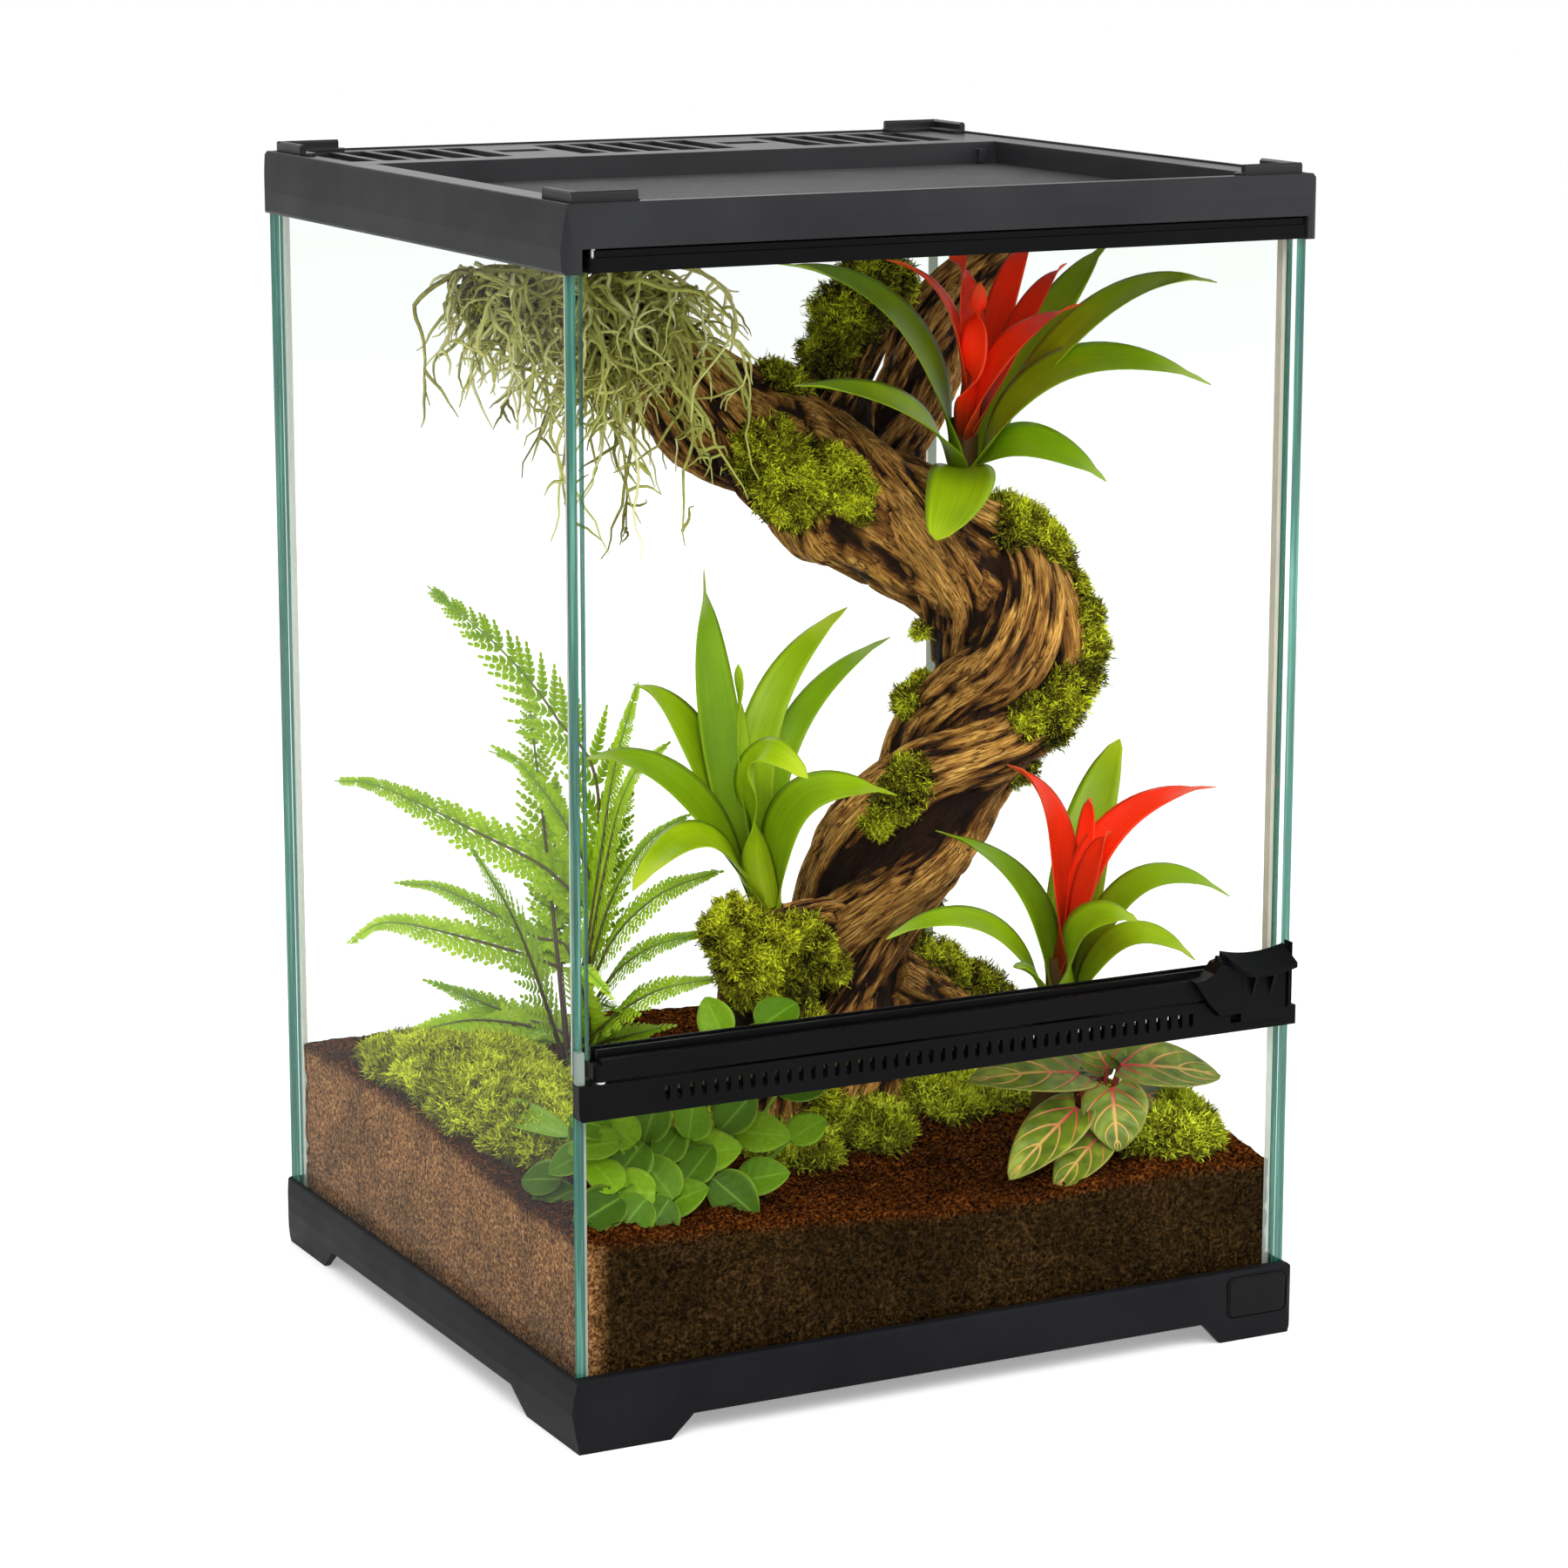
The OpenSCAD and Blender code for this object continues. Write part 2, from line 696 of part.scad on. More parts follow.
module latch_spring() {
    turns = 4;
    steps = 12;
    coil_r = 1.75;
    pitch = 0.95;
    x0 = cheek_right - 5.1;
    coil = [for (i = [0:turns * steps]) let (a = 360 * i / steps)
        [x0 + pitch * i / steps, latch_y + coil_r * cos(a), latch_z + coil_r * sin(a)]];
    wire_r = 0.25;
    gaps = [for (i = [0:(turns - 1) * steps]) norm(coil[i + steps] - coil[i]) - 2 * wire_r];
    echo(str("least gap between the spring's turns, mm: ", min(gaps)));
    leg = [[x0 - 0.05, latch_y + 0.3, latch_z - 7.6], [x0 - 0.05, latch_y + coil_r, latch_z - 6.2],
           [x0 - 0.05, latch_y + coil_r, latch_z - 2]];
    color("silver") placed() wire(concat(leg, coil), wire_r, 6);
}

// Height of the soil: it climbs to the back and left, with a hollow and three mounds
function bump(x, y, cx, cy, r) = exp(-((x - cx) * (x - cx) + (y - cy) * (y - cy)) / (r * r));
function soil_z(x, y) = 74 + 10 * (y + 145) / 290 - 5 * x / 150
    - 10 * bump(x, y, 10, -80, 55) + 7 * bump(x, y, 125, -95, 40)
    + 8 * bump(x, y, -110, 40, 60) + 16 * bump(x, y, 20, 0, 48);

module substrate() {
    nx = 15;
    ny = 14;
    count = (nx + 1) * (ny + 1);
    function sx(i) = -soil_x + 2 * soil_x * i / nx;
    function sy(j) = soil_front + (soil_back - soil_front) * j / ny;
    function at(i, j) = j * (nx + 1) + i;
    tops = [for (j = [0:ny], i = [0:nx]) [sx(i), sy(j), soil_z(sx(i), sy(j))]];
    edge = concat([for (i = [0:nx - 1]) at(i, 0)], [for (j = [0:ny - 1]) at(nx, j)],
                  [for (i = [nx:-1:1]) at(i, ny)], [for (j = [ny:-1:1]) at(0, j)]);
    rim = len(edge);
    lows = [for (k = edge) [tops[k][0], tops[k][1], floor_z]];
    middle = [[0, 0, floor_z]];
    cells = [for (j = [0:ny - 1], i = [0:nx - 1]) [i, j]];
    top_a = [for (c = cells) [at(c[0], c[1]), at(c[0] + 1, c[1] + 1), at(c[0] + 1, c[1])]];
    top_b = [for (c = cells) [at(c[0], c[1]), at(c[0], c[1] + 1), at(c[0] + 1, c[1] + 1)]];
    side_a = [for (k = [0:rim - 1]) [edge[k], edge[(k + 1) % rim], count + (k + 1) % rim]];
    side_b = [for (k = [0:rim - 1]) [edge[k], count + (k + 1) % rim, count + k]];
    under = [for (k = [0:rim - 1]) [count + k, count + (k + 1) % rim, count + rim]];
    color("#4a2a17") placed() polyhedron(points = concat(tops, lows, middle),
        faces = concat(top_a, top_b, side_a, side_b, under));
}

// Branch: round sections joined one after another, each given as a centre and a radius
module branch(points, sides) {
    for (i = [0:len(points) - 2]) {
        hull() {
            translate(points[i][0]) sphere(points[i][1], $fn = sides);
            translate(points[i + 1][0]) sphere(points[i + 1][1], $fn = sides);
        }
    }
}

driftwood_main = [
    [[21, -6, 84], 36], [[27, -8, 124], 31], [[34, -10, 153], 30], [[46, -14, 182], 30],
    [[64, -20, 211], 28], [[84, -24, 239], 30], [[94, -25, 264], 34], [[84, -20, 294], 31],
    [[55, -10, 314], 30], [[25, 2, 334], 30], [[-3, 10, 353], 28], [[-30, 12, 372], 24],
    [[-54, 12, 392], 21], [[-82, 10, 404], 17], [[-108, 10, 411], 12], [[-130, 14, 417], 7]
];
driftwood_fork = [
    [[56, 10, 320], 20], [[62, 18, 334], 19], [[74, 28, 352], 17], [[86, 38, 371], 16],
    [[100, 46, 391], 15], [[116, 50, 409], 14], [[130, 50, 423], 12]
];
driftwood_spur = [
    [[34, 10, 350], 18], [[46, 20, 376], 16], [[58, 28, 398], 14], [[72, 36, 419], 11]
];
driftwood_arm = [
    [[36, -10, 148], 22], [[10, -20, 152], 19], [[-14, -32, 153], 18], [[-34, -40, 158], 13], [[-46, -44, 168], 7]
];
driftwood_stump = [
    [[-14, -26, 80], 24], [[-18, -28, 112], 23], [[-20, -30, 142], 20]
];
driftwood_root = [
    [[40, -6, 124], 24], [[62, 0, 120], 19], [[84, 2, 110], 15], [[106, 4, 98], 12], [[120, 4, 84], 8]
];

module driftwood() {
    color("#7a5230") placed() {
        branch(driftwood_main, 12);
        branch(driftwood_fork, 10);
        branch(driftwood_spur, 10);
        branch(driftwood_arm, 10);
        branch(driftwood_stump, 10);
        branch(driftwood_root, 10);
    }
}

// Cushion of moss: three round lumps in one skin
module cushion(p, r, dx, dz) {
    hull() {
        translate(p) sphere(r, $fn = 8);
        translate(p + [dx, 2, dz]) sphere(r * 0.8, $fn = 8);
        translate(p + [-dx, 4, -dz]) sphere(r * 0.75, $fn = 8);
    }
}

module driftwood_moss() {
    color("#7f9a1d") placed() {
        cushion([-12, -14, 338], 22, 14, -6);
        cushion([14, -20, 332], 16, 8, -4);
        cushion([38, 24, 394], 15, 9, 12);
        cushion([104, -20, 312], 13, 12, -8);
        cushion([126, -22, 262], 12, -2, 16);
        cushion([110, -24, 228], 12, 8, 8);
        cushion([42, -34, 208], 11, 3, 9);
        cushion([56, -16, 262], 8, 2, 12);
        cushion([-36, -44, 164], 16, 10, -8);
        cushion([-12, -44, 150], 18, 12, -2);
        cushion([-30, -42, 136], 19, 12, -6);
        cushion([-6, -40, 118], 18, 12, -6);
        cushion([66, 0, 134], 15, 12, -4);
        cushion([96, 2, 112], 14, 12, -6);
    }
}

module ground_moss() {
    color("#93a61f") placed() {
        cushion([-120, 98, 79], 15, 13, -2);
        cushion([-121, 66, 84], 17, 13, 0);
        cushion([-122, 30, 84], 17, 12, 0);
        cushion([-120, -6, 82], 16, 13, -2);
        cushion([-117, -38, 78], 14, 14, -2);
        cushion([-86, 112, 78], 13, 14, -2);
        cushion([122, -112, 72], 14, 13, -1);
        cushion([126, -84, 74], 12, 12, 0);
        cushion([84, -20, 80], 16, 18, -4);
    }
}

// Hanging strand: it leaves its root sideways, falls and sways
function strand(root, fall, lean, phase) =
    [for (i = [0:6]) let (t = i / 6)
        root + [lean[0] * sqrt(t) + 5 * sin(300 * t + phase) * t, lean[1] * sqrt(t) + 4 * sin(240 * t + phase * 2) * t,
                -fall * t * t - 4 * t]];

module spanish_moss() {
    count = 30;
    color("#a9b488") placed() {
        for (i = [0:count - 1]) {
            u = i / (count - 1);
            swing = sin(i * 137.5);
            root = [-128 + 88 * u, 14 - 16 * u * swing, 414 - 18 * u];
            fall = 50 + 70 * pow(sin(180 * (0.15 + 0.7 * u)), 2) * (0.6 + 0.4 * cos(i * 97));
            wire(strand(root, fall, [10 * cos(i * 77), -14 - 10 * swing], i * 50), 1.1, 3);
        }
        for (i = [0:8]) {
            hull() {
                translate([-130 + 10 * i, 10, 414 - 1.4 * i]) sphere(11 + i * 0.7, $fn = 7);
                translate([-122 + 10 * i, 6, 404 - 1.4 * i]) sphere(9 + i * 0.7, $fn = 7);
            }
        }
    }
}

// Strap leaf: an arching, channelled blade from base b to tip e, bent by m, or passing a middle point
function bend(b, m, e, t) = (1 - t) * (1 - t) * b + 2 * t * (1 - t) * m + t * t * e;
function blade_width(t, full) = 0.12 + 0.88 * pow(max(sin(180 * pow(t * 0.94 + 0.04, full)), 0), 0.7);
function blade_ring(b, m, e, w, th, t, s, full) =
    let (p = bend(b, m, e, t), d = unit(bend(b, m, e, t + 0.02) - bend(b, m, e, t - 0.02)),
         n = cross(d, s), k = w * blade_width(t, full) / 2)
    [p + s * k + n * k * 0.35, p + n * th / 2, p - s * k + n * k * 0.35, p - n * th / 2];

module blade(b, through, e, w, full = 0.8, th = 1.6) {
    steps = 6;
    m = 2 * through - (b + e) / 2;
    s = unit(cross([0, 0, 1], e - b));
    rings = [for (i = [0:steps]) blade_ring(b, m, e, w, th, i / steps, s, full)];
    ends = [[0, 1, 3], [1, 2, 3], [4 * steps, 4 * steps + 3, 4 * steps + 1],
            [4 * steps + 1, 4 * steps + 3, 4 * steps + 2]];
    body = [for (f = tube_faces(steps, 4)) if (!is_end(f, steps)) f];
    polyhedron(points = [for (ring = rings) each ring], faces = concat(body, ends));
}

function is_end(f, steps) = max(f) < 4 || min(f) >= 4 * steps;

// Rosette: blades from one crown, each given as a middle point, a tip and a width
module rosette(base, leaves, crown_r, full = 0.8) {
    for (leaf = leaves) {
        start = base + crown_r * 0.6 * unit([leaf[1][0] - base[0], leaf[1][1] - base[1], 0.01]);
        blade(start, leaf[0], leaf[1], leaf[2], full);
        hull() {
            translate(base + [0, 0, -crown_r]) sphere(crown_r * 0.7, $fn = 6);
            translate(start + [0, 0, 2]) sphere(crown_r * 0.4, $fn = 6);
        }
    }
}

upper_base = [80, -14, 340];
upper_leaves = [
    [[43, -28, 402], [-20, -40, 429], 21], [[37, -40, 370], [-23, -62, 384], 19],
    [[57, -50, 336], [35, -72, 321], 27], [[95, -40, 352], [117, -64, 338], 19],
    [[103, -56, 384], [144, -98, 379], 19], [[113, -58, 404], [142, -104, 420], 17],
    [[116, -12, 392], [144, -18, 430], 18]
];
upper_bracts = [
    [[61, -36, 405], [26, -46, 429], 11], [[73, -28, 406], [67, -24, 431], 14],
    [[93, -22, 408], [106, -20, 430], 13], [[93, -38, 401], [108, -46, 424], 12],
    [[79, -46, 389], [108, -58, 409], 14], [[71, -38, 391], [74, -36, 417], 12]
];

module bromeliad_upper() {
    color("#5f9a2a") placed() rosette(upper_base, upper_leaves, 9);
}

module bracts_upper() {
    color("#d93a22") placed() {
        branch([[upper_base, 5], [upper_base + [0, 0, 14], 5]], 6);
        rosette(upper_base + [0, 0, 12], upper_bracts, 6);
    }
}

green_base = [-24, -40, 174];
green_leaves = [
    [[-44, -36, 251], [-46, -30, 309], 21], [[-39, -50, 237], [-42, -52, 275], 9],
    [[-21, -30, 242], [24, -18, 287], 17], [[-8, -28, 237], [47, -12, 272], 13],
    [[-17, -56, 218], [19, -70, 220], 20], [[-41, -62, 236], [-28, -84, 234], 19],
    [[-66, -50, 227], [-110, -56, 244], 20], [[-52, -36, 239], [-79, -34, 267], 20],
    [[-64, -64, 210], [-106, -90, 199], 18]
];

module bromeliad_green() {
    color("#5c9426") placed() {
        branch([[green_base - [0, 0, 18], 9], [green_base, 8]], 6);
        rosette(green_base, green_leaves, 12);
    }
}

lower_base = [91, -76, 126];
lower_leaves = [
    [[76, -77, 174], [30, -82, 207], 17], [[47, -92, 169], [-5, -106, 172], 14],
    [[107, -66, 185], [130, -56, 230], 23], [[115, -92, 177], [145, -116, 175], 14],
    [[84, -104, 165], [98, -124, 172], 22], [[107, -100, 159], [129, -118, 151], 13],
    [[69, -96, 145], [53, -106, 154], 14]
];
lower_bracts = [
    [[84, -84, 201], [61, -84, 231], 19], [[103, -92, 199], [143, -106, 218], 16],
    [[98, -84, 197], [99, -84, 213], 9], [[94, -94, 186], [101, -98, 202], 12]
];

module bromeliad_lower() {
    color("#5f9a2a") placed() {
        branch([[lower_base - [0, -10, 54], 6], [lower_base, 6]], 6);
        rosette(lower_base, lower_leaves, 9);
    }
}

module bracts_lower() {
    color("#d93a22") placed() {
        branch([[lower_base, 5], [lower_base + [0, 0, 16], 5]], 6);
        rosette(lower_base + [0, 0, 14], lower_bracts, 6);
    }
}

// Frond: an arching blade whose edge runs out to a leaflet's tip at every second ring
function frond_ring(b, m, e, t, tooth, spread) =
    let (p = bend(b, m, e, t), d = unit(bend(b, m, e, t + 0.01) - bend(b, m, e, t - 0.01)),
         s = unit(cross([0, 0, 1], e - b)), n = cross(d, s),
         reach = tooth ? spread * (1.12 - t) * min(1, 0.5 + 3 * (t - 0.28)) : 1.6)
    [p + s * reach + d * (tooth ? reach * 0.4 : 0), p + n * 0.9,
     p - s * reach + d * (tooth ? reach * 0.4 : 0), p - n * 0.9];

module frond(b, through, e, spread) {
    pairs = 8;
    last = 2 * pairs + 1;
    m = 2 * through - (b + e) / 2;
    rings = [for (i = [0:last]) let (t = i == 0 ? 0.02 : 0.22 + 0.76 * (i - 1) / (last - 1))
        frond_ring(b, m, e, t, i > 1 && i % 2 == 0, spread)];
    polyhedron(points = [for (ring = rings) each ring], faces = tube_faces(last, 4));
}

fern_base = [-68, 54, 86];
fern_fronds = [
    [[-66, 50, 220], [-115, 86, 291], 44], [[-78, 80, 175], [-147, 122, 206], 34],
    [[-80, 80, 132], [-139, 118, 136], 30], [[-74, 82, 141], [-118, 114, 161], 24],
    [[-82, 84, 101], [-122, 112, 95], 28], [[-63, 34, 177], [-52, 18, 257], 30],
    [[-62, 22, 190], [-44, 6, 234], 28], [[-64, 16, 170], [-42, -6, 206], 28],
    [[-62, 6, 158], [-33, -16, 184], 34], [[-68, 8, 140], [-43, -22, 161], 30],
    [[-68, 0, 126], [-40, -28, 143], 30], [[-92, -6, 144], [-95, -44, 147], 26],
    [[-66, 80, 180], [-64, 104, 250], 34], [[-58, 88, 160], [-46, 116, 200], 34],
    [[-92, 48, 150], [-116, 40, 190], 34]
];

module fern() {
    color("#6db33a") placed() {
        for (f = fern_fronds) {
            frond(fern_base, f[0], f[1], f[2]);
        }
        for (f = fern_fronds) {
            hull() {
                translate(fern_base - [0, 0, 6]) sphere(6, $fn = 6);
                translate(fern_base + unit(f[0] - fern_base) * 8) sphere(2, $fn = 5);
            }
        }
    }
}

module round_leaf_plant() {
    count = 30;
    base = [-92, -98, 72];
    color("#5da32c") placed() {
        for (i = [0:count - 1]) {
            turn = i * 137.5;
            rise = 1 - (i + 0.5) / count;
            flat = sqrt(1 - rise * rise);
            c = base + [48 * flat * cos(turn), 29 * flat * sin(turn), 6 + 58 * rise];
            tilt = 62 * flat;
            translate(c) rotate([0, tilt, turn]) rotate([0, 0, 22.5])
                cylinder(r = 9.5 + 2 * sin(i * 71), h = 1.2, $fn = 8);
            hull() {
                translate(c) sphere(0.9, $fn = 4);
                translate(base + [4 * flat * cos(turn), 3 * flat * sin(turn), -2]) sphere(1.4, $fn = 4);
            }
        }
        translate(base - [0, 0, 4]) sphere(7, $fn = 8);
    }
}

veined_base = [90, -104, 66];
veined_leaves = [
    [[62, -121, 113], [29, -122, 110], 30], [[118, -118, 109], [147, -114, 99], 32],
    [[91, -124, 98], [87, -130, 82], 26], [[64, -122, 90], [42, -128, 76], 26],
    [[94, -104, 112], [94, -94, 119], 24], [[112, -100, 113], [132, -88, 116], 28],
    [[94, -92, 104], [93, -80, 106], 24], [[118, -108, 92], [137, -100, 77], 26]
];

module veined_leaf_plant() {
    color("#7d8a2f") placed() rosette(veined_base, veined_leaves, 7, 1.15);
}

base_frame();
badge_plate();
bottom_glass();
left_glass();
right_glass();
back_glass();
front_lower_glass();
silicone_seams();
door_stop_left();
door_stop_right();
hinge_block();
vent_strip();
vent_mesh();
top_frame();
lid_frame();
screen_mesh();
rear_mesh();
cable_slider_left();
cable_slider_right();
corner_guide_fl();
corner_guide_fr();
corner_guide_bl();
corner_guide_br();
door_glass();
door_top_rail();
door_bottom_rail();
hinge_pin_top();
hinge_pin_bottom();
hinge_washer();
latch_lever();
latch_hook();
latch_pin();
latch_spring();
substrate();
driftwood();
driftwood_moss();
ground_moss();
spanish_moss();
bromeliad_upper();
bracts_upper();
bromeliad_green();
bromeliad_lower();
bracts_lower();
fern();
round_leaf_plant();
veined_leaf_plant();
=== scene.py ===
# %% [markdown]
# # A planted terrarium, dressed around its frame
#
# The frame holds every piece that carries, slides or turns: base, panes, door, latch and lid.
# This script gives those pieces their finishes, and grows the living scene inside them:
# soil, a twisted piece of driftwood, mosses, three bromeliads, a fern and two leafy plants.
# Everything is in metres, with +Z up and the door facing -Y.

# %% Load the frame
import math

import bpy
import numpy as np
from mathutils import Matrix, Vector
from mathutils.bvhtree import BVHTree


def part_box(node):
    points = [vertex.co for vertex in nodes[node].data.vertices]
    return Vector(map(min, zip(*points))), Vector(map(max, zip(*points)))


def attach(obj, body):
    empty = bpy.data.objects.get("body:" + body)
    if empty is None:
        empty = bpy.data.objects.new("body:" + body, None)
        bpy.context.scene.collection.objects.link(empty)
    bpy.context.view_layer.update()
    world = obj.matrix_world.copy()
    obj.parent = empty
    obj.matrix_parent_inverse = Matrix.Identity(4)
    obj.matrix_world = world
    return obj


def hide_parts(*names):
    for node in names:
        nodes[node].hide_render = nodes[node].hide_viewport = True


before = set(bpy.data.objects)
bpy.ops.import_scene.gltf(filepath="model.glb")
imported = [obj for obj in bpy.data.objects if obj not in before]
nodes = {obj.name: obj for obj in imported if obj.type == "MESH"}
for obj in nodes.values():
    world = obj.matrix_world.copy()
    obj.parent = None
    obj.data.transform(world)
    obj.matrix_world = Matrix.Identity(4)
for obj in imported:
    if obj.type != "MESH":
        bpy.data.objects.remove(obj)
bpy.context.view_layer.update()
MM = 0.001

# %% [markdown]
# ## A ruler for the tank
#
# The latch stands out in front, so the middle of the tank isn't the middle of the whole object.
# All places inside are easier to think of from the middle of the tank and in millimetres, as a
# planter would measure them. One function turns such a place into metres in the frame.

# %% The ruler
base_low, base_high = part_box("base_frame")
TANK_Y = (base_low.y + base_high.y) / 2


def spot(x, y, z):
    """A point in the frame, from millimetres about the middle of the tank's footprint."""
    return Vector((x * MM, y * MM + TANK_Y, z * MM))


print("the tank's middle lies at y =", round(TANK_Y, 4))

# %% [markdown]
# ## The camera
#
# The photograph was taken from the left of the door and a little above it, with a long lens, so
# that upright edges stay almost parallel. The place and the angles were found by matching the
# corners of the base, the top frame and the door.

# %% Camera
CAMERA_TURN, CAMERA_DIP = 27.17, 11.93
camera_data = bpy.data.cameras.new("camera")
camera_data.lens, camera_data.sensor_width = 105.3, 36
camera = bpy.data.objects.new("camera", camera_data)
camera.location = spot(-830.3, -1626.9, 599.2)
camera.rotation_euler = (math.radians(90 - CAMERA_DIP), 0, math.radians(-CAMERA_TURN))
bpy.context.scene.collection.objects.link(camera)
bpy.context.scene.camera = camera
print("camera at", [round(v, 3) for v in camera.location])

# %% [markdown]
# ## Studio light
#
# A product studio wraps the tank in white: a pale floor, a pale surround and two large soft
# lamps. The surround gives most of the light, so that the plants are lit through every pane. It
# shines a little weaker than it looks to the camera, which keeps the backdrop white and the leaves
# from washing out. The lamps only add direction and the long soft gleam along the black frames.

# %% World
WHITE = (1, 1, 1, 1)
LAMPLIGHT_SHARE = 0.78
world = bpy.data.worlds.new("studio")
bpy.context.scene.world = world
world.use_nodes = True
sky = world.node_tree.nodes
sky.clear()
choose = sky.new("ShaderNodeMixShader")
for slot, strength in ((1, LAMPLIGHT_SHARE), (2, 1.0)):
    backdrop = sky.new("ShaderNodeBackground")
    backdrop.inputs["Color"].default_value = WHITE
    backdrop.inputs["Strength"].default_value = strength
    world.node_tree.links.new(backdrop.outputs[0], choose.inputs[slot])
sky_rays = sky.new("ShaderNodeLightPath")
world.node_tree.links.new(sky_rays.outputs["Is Camera Ray"], choose.inputs[0])
world.node_tree.links.new(choose.outputs[0], sky.new("ShaderNodeOutputWorld").inputs["Surface"])
bpy.context.scene.view_settings.view_transform = "Standard"
print("the surround lights the tank at", LAMPLIGHT_SHARE, "and looks white")


# %% Lamps
def soft_lamp(name, place, size, watts):
    """A large square area lamp that looks at the middle of the tank."""
    data = bpy.data.lights.new(name, "AREA")
    data.shape, data.size, data.energy = "SQUARE", size, watts
    lamp = bpy.data.objects.new(name, data)
    lamp.location = place
    lamp.rotation_euler = (MIDDLE - Vector(place)).to_track_quat("-Z", "Y").to_euler()
    bpy.context.scene.collection.objects.link(lamp)
    print(name, "lamp:", watts, "W, metres from the tank:", round((MIDDLE - lamp.location).length, 2))


MIDDLE = spot(0, 0, 230)
soft_lamp("key", (-0.75, -1.85, 1.75), 1.2, 34)
soft_lamp("fill", (1.5, -1.6, 1.3), 1.4, 20)
soft_lamp("rim", (0.3, 1.7, 1.9), 1.2, 16)


# %% [markdown]
# ## Helpers for meshes and materials
#
# Every grown piece is a mesh whose points are worked out as arrays, because leaves and strands
# repeat by the hundred. A piece can carry named values on its points, such as how far along a
# leaf a point lies, which its material then reads to paint veins and tips.


# %% Mesh helper
def mesh_piece(name, points, faces, material, body="tank", values=None, smooth=True):
    """A mesh object from metres and index lists, riding on a body."""
    mesh = bpy.data.meshes.new(name)
    mesh.from_pydata([tuple(p) for p in np.asarray(points, float)], [], [tuple(f) for f in faces])
    for label, numbers in (values or {}).items():
        layer = mesh.attributes.new(label, "FLOAT", "POINT")
        layer.data.foreach_set("value", np.asarray(numbers, np.float32))
    if smooth:
        mesh.shade_smooth()
    mesh.validate()
    mesh.update()
    mesh.materials.append(material)
    piece = bpy.data.objects.new(name, mesh)
    bpy.context.scene.collection.objects.link(piece)
    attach(piece, body)
    return piece


print("meshes before the first grown piece:", len(bpy.data.meshes))


# %% Material helpers
LOOKS = {"colour": "Base Color", "rough": "Roughness", "shine": "Specular IOR Level", "relief": "Normal",
         "metal": "Metallic", "flesh": "Subsurface Weight", "flesh_depth": "Subsurface Radius"}


class Finish:
    """A material under construction, with short calls for the nodes that finishes share."""

    def __init__(self, name):
        self.material = bpy.data.materials.new(name)
        self.material.use_nodes = True
        self.tree = self.material.node_tree
        self.shader = self.tree.nodes["Principled BSDF"]
        self.out = self.tree.nodes["Material Output"].inputs["Surface"]

    def add(self, kind, **settings):
        node = self.tree.nodes.new("ShaderNode" + kind)
        for key, value in settings.items():
            setattr(node, key, value)
        return node

    def feed(self, socket, source):
        """Sets a socket to a number or a colour, or wires another node's output to it."""
        if isinstance(source, (int, float)):
            socket.default_value = source
        elif isinstance(source, tuple):
            socket.default_value = source if len(socket.default_value) == len(source) else (*source, 1)
        else:
            self.tree.links.new(source, socket)

    def surface(self, **looks):
        for look, source in looks.items():
            self.feed(self.shader.inputs[LOOKS[look]], source)

    def node(self, kind, inputs, output=0, **settings):
        """Adds a node, feeds its named or numbered inputs and gives one of its outputs."""
        node = self.add(kind, **settings)
        for key, source in inputs.items():
            self.feed(node.inputs[key], source)
        return node.outputs[output]

    def noise(self, scale, detail=3.0, rough=0.5, where=None, stretch=(1, 1, 1), twist=0.0):
        """Cloudy noise in the piece's own space, or at the points of where."""
        if not where:
            own = self.add("TexCoord").outputs["Object"]
            where = self.node("Mapping", {"Vector": own, "Scale": stretch})
        return self.node("TexNoise", {"Scale": scale, "Detail": detail, "Roughness": rough,
                                      "Distortion": twist, "Vector": where}, "Fac")

    def ramp(self, value, stops, curve="EASE"):
        node = self.add("ValToRGB")
        node.color_ramp.interpolation = curve
        while len(node.color_ramp.elements) < len(stops):
            node.color_ramp.elements.new(0.5)
        for element, (at, colour) in zip(node.color_ramp.elements, stops):
            element.position = at
            element.color = (*colour, 1)
        self.feed(node.inputs["Fac"], value)
        return node.outputs["Color"]

    def span(self, value, low, high, start=0.0, end=1.0):
        """The value, moved from the range start..end to low..high."""
        return self.node("MapRange", {"From Min": start, "From Max": end, "To Min": low, "To Max": high,
                                      "Value": value}, "Result")

    def sum(self, a, b, kind="ADD"):
        return self.node("Math", {0: a, 1: b}, operation=kind)

    def scaled(self, a, b):
        """One value times the other."""
        return self.sum(a, b, "MULTIPLY")

    def size(self, a):
        """The value without its sign."""
        return self.sum(a, 0, "ABSOLUTE")

    def blend(self, amount, a, b, kind="MIX"):
        return self.node("Mix", {0: amount, 6: a, 7: b}, 2, data_type="RGBA", blend_type=kind)

    def times(self, colour, value, stops, curve="EASE"):
        """The colour, darkened or lightened by a ramp over the value."""
        return self.blend(1.0, colour, self.ramp(value, stops, curve), "MULTIPLY")

    def value(self, label):
        """A named value carried by the mesh's points."""
        return self.node("Attribute", {}, "Fac", attribute_name=label)

    def point(self, x, y, z):
        return self.node("CombineXYZ", {0: x, 1: y, 2: z})

    def bump(self, height, depth, strength=1.0, **base):
        """Small relief, depth in metres."""
        settings = {"Strength": strength, "Distance": depth, "Height": height, **base}
        return self.node("Bump", settings, "Normal")

    def film(self, colour, share=None):
        """A see-through film of a colour, alone or under a share of the shader."""
        clear = self.node("BsdfTransparent", {"Color": colour})
        return clear if share is None else self.between(share, clear, self.shader.outputs[0])

    def between(self, share, first, second):
        return self.node("MixShader", {0: share, 1: first, 2: second})

    def dress(self, *names):
        """Puts this material on frame nodes."""
        for name in names:
            slots = nodes[name].data.materials
            slots.clear()
            slots.append(self.material)


